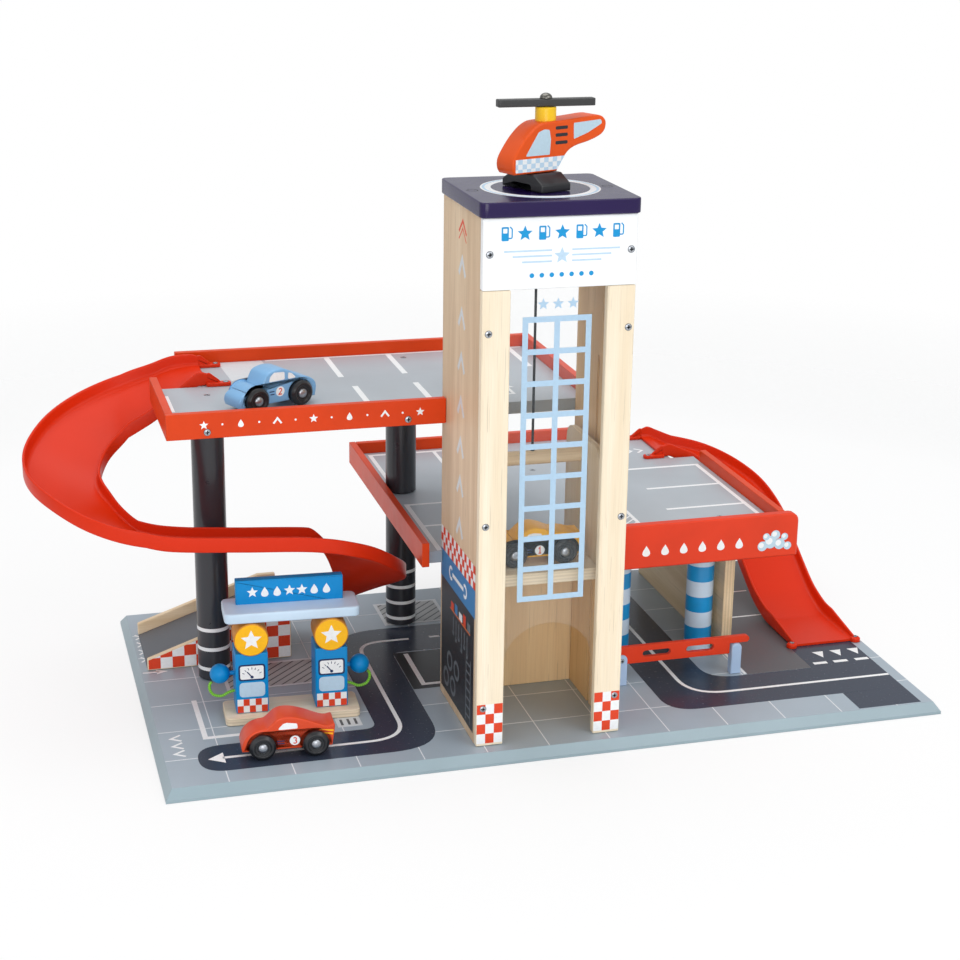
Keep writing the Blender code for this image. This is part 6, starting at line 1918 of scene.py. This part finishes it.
@dataclass
class ToyCar:
    """A wooden toy car: its body with wheel arches, wheels, hubs and side prints."""

    name: str
    finish: Paint
    place: Place
    top: Pairs
    number: int
    windows: tuple[Pairs, ...]
    roundel: Pair
    strips: tuple[tuple[float, float, float], ...]
    underside: float = 6.2
    width: float = 22.0
    front_axle: float = 15.2
    wheelbase: float = 39.1
    wheel_radius: float = 9.7
    arch_radius: float = 10.4
    arch_depth: float = 3.0
    wheel_thickness: float = 6.8
    flashes: tuple[Pairs, ...] = ()

    def local(self, points: Rows) -> np.ndarray:
        """Move side-view points from the nose to the middle between the axles."""
        return np.array(points, dtype=float) - np.array((self.front_axle + self.wheelbase / 2, 0.0))

    def outline(self) -> np.ndarray:
        """Return the body's side outline: a smooth top, and a flat underside with two round arches.

        Each arch is part of a circle about its axle, from where it leaves the underside to
        where it meets it again.

        Returns:
            The closed outline.
        """
        top = smoothed(self.top, 110)
        drop_to = self.wheel_radius - self.underside
        start = math.asin(drop_to / self.arch_radius)
        arc = np.linspace(-start, math.pi + start, 26)
        arch = np.column_stack((np.cos(arc), np.sin(arc))) * self.arch_radius
        arches = [arch + (x, self.wheel_radius) for x in (self.front_axle + self.wheelbase, self.front_axle)]
        return self.local(np.vstack((top, *arches)))

    def build(self) -> None:
        """Make the body, wheels and prints."""
        half = self.width / 2
        shell = pillow(self.outline(), -half, half, 1.2, Axis.Y)
        core = pillow(self.core_outline(), -half + self.arch_depth, half - self.arch_depth, 0.3, Axis.Y)
        for name, shape in (("_shell", shell), ("_core", core)):
            make_piece(self.name + name, shape, self.finish, self.name, self.place,
                       (self.name + "_body",), 42.0)
        for label, way in (("front", -1.0), ("rear", 1.0)):
            self.build_wheels(label, way * self.wheelbase / 2)
        for side, level, name in ((Side.FRONT, -half, "near"), (Side.BACK, half, "far")):
            self.print_side(Print(side, level), name)

    def core_outline(self) -> np.ndarray:
        """Return the outline of the block between the arches, a little inside the body's own."""
        low = self.underside + 0.2
        span = np.linspace(3.0, self.front_axle + self.wheelbase + 11.5, 60)
        curve = smoothed(self.top, 110)
        keep = np.maximum.accumulate(curve[:, 0] + np.arange(len(curve)) * 1e-6)
        height = np.interp(span, keep, curve[:, 1]) - 1.6
        upper = np.column_stack((span, np.maximum(height, low + 1.0)))
        bore = 1.9
        arc = np.linspace(-math.pi / 2, 1.5 * math.pi, 20)
        notch = []
        for x in (self.front_axle + self.wheelbase, self.front_axle):
            ring = np.column_stack((x + bore * np.cos(arc), self.wheel_radius + bore * np.sin(arc)))
            notch += [np.array([(x + 0.02, low)]), ring, np.array([(x - 0.02, low)])]
        return self.local(np.vstack((upper, *notch)))

    def build_wheels(self, label: str, x: float) -> None:
        """Make a pair of wheels on their axle, and the domed hubs in them."""
        r = self.wheel_radius
        inner = self.width / 2 - self.arch_depth + 0.4
        outer = inner + self.wheel_thickness
        profile = filleted(((1.4, inner), (r - 0.7, inner), (r, inner + 0.9), (r, outer - 1.9),
                            (r - 1.9, outer), (6.4, outer), (5.8, outer - 1.0), (4.1, outer - 1.0),
                            (3.9, outer - 1.2)), 0.5, False, 4)
        wheel = lathe(profile, Axis.Y, 72)
        axle = rod(np.array([(0.0, y, 0.0) for y in np.linspace(-inner - 0.5, inner + 0.5, 5)]), 1.5, 20)
        pair = join([wheel, wheel.mirrored(), axle]).moved(x, 0.0, r)
        body = f"{self.name}_{label}"
        make_piece(body + "_pair", pair, TYRE, body, self.place, (body + "_wheels",), sharp=32.0)
        t = np.linspace(0.0, np.pi / 2 - 0.02, 12)
        dome = np.column_stack((3.7 * np.cos(t), outer - 1.1 + 1.7 * np.sin(t)))
        hub = lathe(np.vstack(((3.7, outer - 1.6), dome)), Axis.Y, 48)
        hubs = join([hub, hub.mirrored()]).moved(x, 0.0, r)
        make_piece(body + "_hubs", hubs, STEEL, body, self.place, (body + "_wheels",))

    def print_side(self, face: Print, name: str) -> None:
        """Print the windows, the roundel with its number and the two strips on one side."""
        for window in self.windows:
            face.film(INK_WHITE, filleted(self.local(window), 1.2), 1)
        centre = self.local([self.roundel])[0]
        face.film(INK_WHITE, disc(centre, 3.8, 40), 1)
        flip = -1.0 if name == "far" else 1.0
        for stroke in numeral(self.number, 4.6):
            face.line(INK_RED, stroke * np.array((flip, 1.0)) + centre, 0.85, 2)
        for left, right, z in self.strips:
            face.line(INK_NAVY, self.local([(left, z), (right, z)]), 0.8, 1)
        for flash in self.flashes:
            face.film(INK_YELLOW, self.local(flash), 1)
        face.make(f"{self.name}_{name}_side", self.name, self.place)


RED_CAR = ToyCar(
    "red_car", CAR_RED, Place(90.0, 39.5, 0.3, -3.0),
    ((0.5, 6.2), (0.0, 9.0), (1.5, 14.0), (4.2, 18.0), (8.5, 21.2), (13.5, 22.9), (18.0, 23.6), (21.2, 26.0),
     (25.4, 29.8), (29.7, 31.4), (34.5, 31.6), (40.0, 30.7), (47.0, 28.5), (54.0, 25.5), (60.0, 23.1),
     (64.0, 22.4), (68.4, 23.0), (68.4, 18.0), (66.6, 6.2)),
    3, (((25.9, 22.0), (30.4, 26.6), (33.0, 27.4), (40.6, 26.2), (41.2, 22.2)),), (38.9, 12.8),
    ((25.7, 31.2, 13.0), (26.0, 31.2, 11.1)),
    flashes=(((57.0, 20.0), (67.6, 19.0), (67.6, 17.4)), ((59.5, 17.2), (67.2, 16.4), (67.0, 14.9))))
BLUE_CAR = ToyCar(
    "blue_car", CAR_BLUE, Place(100.3, 147.0, 234.8, 24.0),
    ((1.0, 5.0), (0.0, 8.5), (1.0, 12.4), (4.0, 15.0), (9.0, 16.9), (14.5, 18.2), (19.5, 19.3), (22.2, 24.0),
     (25.0, 28.1), (30.0, 30.0), (36.0, 30.5), (42.0, 29.5), (48.0, 26.5), (54.5, 22.8), (60.0, 21.5),
     (64.5, 19.5), (68.0, 16.5), (69.2, 12.0), (68.0, 5.0)),
    2, (((26.2, 21.9), (27.6, 25.9), (31.0, 28.6), (40.2, 27.9), (40.4, 22.0)),
        ((43.2, 22.0), (43.6, 27.2), (47.0, 25.8), (51.0, 21.8))), (36.2, 13.4),
    ((26.6, 31.0, 14.2), (27.4, 31.0, 12.0)), underside=5.0)
YELLOW_CAR = ToyCar(
    "yellow_car", CAR_YELLOW, Place(281.7, 50.0, 129.8, 0.0),
    ((0.5, 6.2), (0.0, 8.5), (1.2, 12.2), (4.5, 15.8), (9.5, 18.4), (14.5, 19.8), (19.0, 23.2), (23.0, 26.8),
     (27.5, 28.7), (33.0, 29.0), (39.0, 27.4), (44.0, 25.2), (48.0, 24.0), (52.0, 24.2), (57.0, 23.5),
     (62.5, 21.8), (67.0, 21.5), (68.4, 20.5), (67.2, 6.2)),
    1, (((22.4, 20.4), (26.0, 24.6), (30.0, 25.4), (36.0, 24.6), (37.0, 20.6)),), (35.0, 11.6),
    ((23.6, 29.4, 12.4), (23.6, 29.4, 10.6)))


# --------------------------------------------------------------------------- studio


@dataclass
class Studio:
    """The floor, the soft lamps, the white world and the camera."""

    location: tuple[float, float, float] = (-0.42137, -1.38171, 0.63809)
    turn: tuple[float, float, float] = (72.32909532, -0.88483829, -15.94990273)
    lens: float = 70.68
    shift: Pair = (-0.01282, -0.01795)

    def build(self) -> None:
        """Set the studio up."""
        self.build_floor()
        self.light_world()
        self.hang_lamp("key", (1.1, -1.6, 1.7), (0.0, 0.0, 0.15), 1.5, 14.0)
        self.hang_lamp("fill", (-1.9, -1.1, 1.1), (0.0, 0.0, 0.15), 1.6, 4.5)
        self.hang_lamp("top", (-0.2, 0.5, 2.3), (0.0, 0.0, 0.1), 2.0, 22.0)
        self.hang_lamp("low_front", (-0.5, -2.3, 0.6), (0.0, 0.0, 0.15), 1.2, 13.0)
        camera = bpy.data.cameras.new("camera")
        camera.sensor_width = 36.0
        camera.lens = self.lens
        camera.shift_x, camera.shift_y = self.shift
        camera.clip_start, camera.clip_end = 0.05, 60.0
        stand = placed("camera", camera)
        stand.location = self.location
        stand.rotation_euler = [math.radians(a) for a in self.turn]
        bpy.context.scene.camera = stand
        bpy.context.scene.view_settings.view_transform = "Standard"

    def build_floor(self) -> None:
        """Lay a pale floor that keeps the shadow and fades into the white world."""
        radius = np.array((0.01, 3.0))[:, None]
        x, y = radius * np.cos(around(96)), radius * np.sin(around(96))
        top = np.stack([x, y, np.full((2, 96), -0.0002)], axis=-1)
        bottom = top[::-1] - np.array((0.0, 0.0, 0.004))
        shape = closed_grid(np.concatenate((top, bottom)), wrap_rows=True)
        mesh = bpy.data.meshes.new("studio_floor")
        mesh.from_pydata(shape.points.tolist(), [], [f for g in shape.faces for f in g.tolist()]
                         + [list(range(96))])
        placed("studio_floor", mesh)
        mesh.materials.append(self.floor_material())

    def floor_material(self) -> bpy.types.Material:
        """Return a matt white that glows a little for the camera, so that the shadow stays soft."""
        bench = Bench("studio_floor_white")
        bench.surface((0.90, 0.90, 0.90, 1.0), 0.9)
        bench.set("Specular IOR Level", 0.0)
        glow = bench.node("Emission", {"Color": (1.0, 1.0, 1.0, 1.0)}).outputs["Emission"]
        share = bench.calc("MULTIPLY", bench.node("LightPath").outputs["Is Camera Ray"], 0.72)
        matt = bench.shader.outputs["BSDF"]
        first = bench.node("MixShader", {0: share, 1: matt, 2: glow}).outputs["Shader"]
        far = bench.node("VectorMath", {0: bench.coordinates["Object"]}, operation="LENGTH").outputs["Value"]
        fade = bench.calc("MULTIPLY", bench.calc("SUBTRACT", far, 0.75), 1.3, clamp=True)
        clear = bench.node("BsdfTransparent").outputs["BSDF"]
        second = bench.node("MixShader", {0: fade, 1: first, 2: clear}).outputs["Shader"]
        bench.give(bench.output.inputs["Surface"], second)
        return bench.material

    def light_world(self) -> None:
        """Light the object evenly, and show plain white behind it and in its gloss."""
        world = bpy.data.worlds.new("studio_world")
        bpy.context.scene.world = world
        tree = Tree(world)
        lights = tree.node("LightPath").outputs
        soft = tree.node("Background", {"Color": (0.96, 0.98, 1.0, 1.0), "Strength": 0.62}).outputs[0]
        plain = tree.node("Background", {"Color": (1.0, 1.0, 1.0, 1.0), "Strength": 1.0}).outputs[0]
        seen = tree.calc("MAXIMUM", lights["Is Camera Ray"], lights["Is Transmission Ray"])
        shown = tree.node("MixShader", {0: seen, 1: soft, 2: plain}).outputs[0]
        tree.node("OutputWorld", {"Surface": shown})

    def hang_lamp(self, name: str, spot: Sequence[float], aim: Sequence[float], size: float,
                  power: float) -> None:
        """Hang a square soft lamp at a spot and aim it."""
        lamp = bpy.data.lights.new(name, "AREA")
        lamp.size = size
        lamp.energy = power
        holder = placed(name, lamp)
        holder.location = spot
        way = np.array(aim) - np.array(spot)
        flat = math.hypot(way[0], way[1])
        holder.rotation_euler = (math.atan2(flat, -way[2]), 0.0, math.atan2(-way[0], way[1]))


def main() -> None:
    """Build the studio, then every sub-assembly, logging each one."""
    logging.basicConfig(level=logging.INFO, format="%(message)s")
    Studio().build()
    for builder in (PumpIsland(), LiftCar(), RoadBoard(), LiftTower(), ParkingDecks(), Slides(), Ramp(),
                    CarWash(), Barrier(), Helicopter(), RED_CAR, BLUE_CAR, YELLOW_CAR):
        log.info("building %s", type(builder).__name__)
        builder.build()


if __name__ == "__main__":
    main()
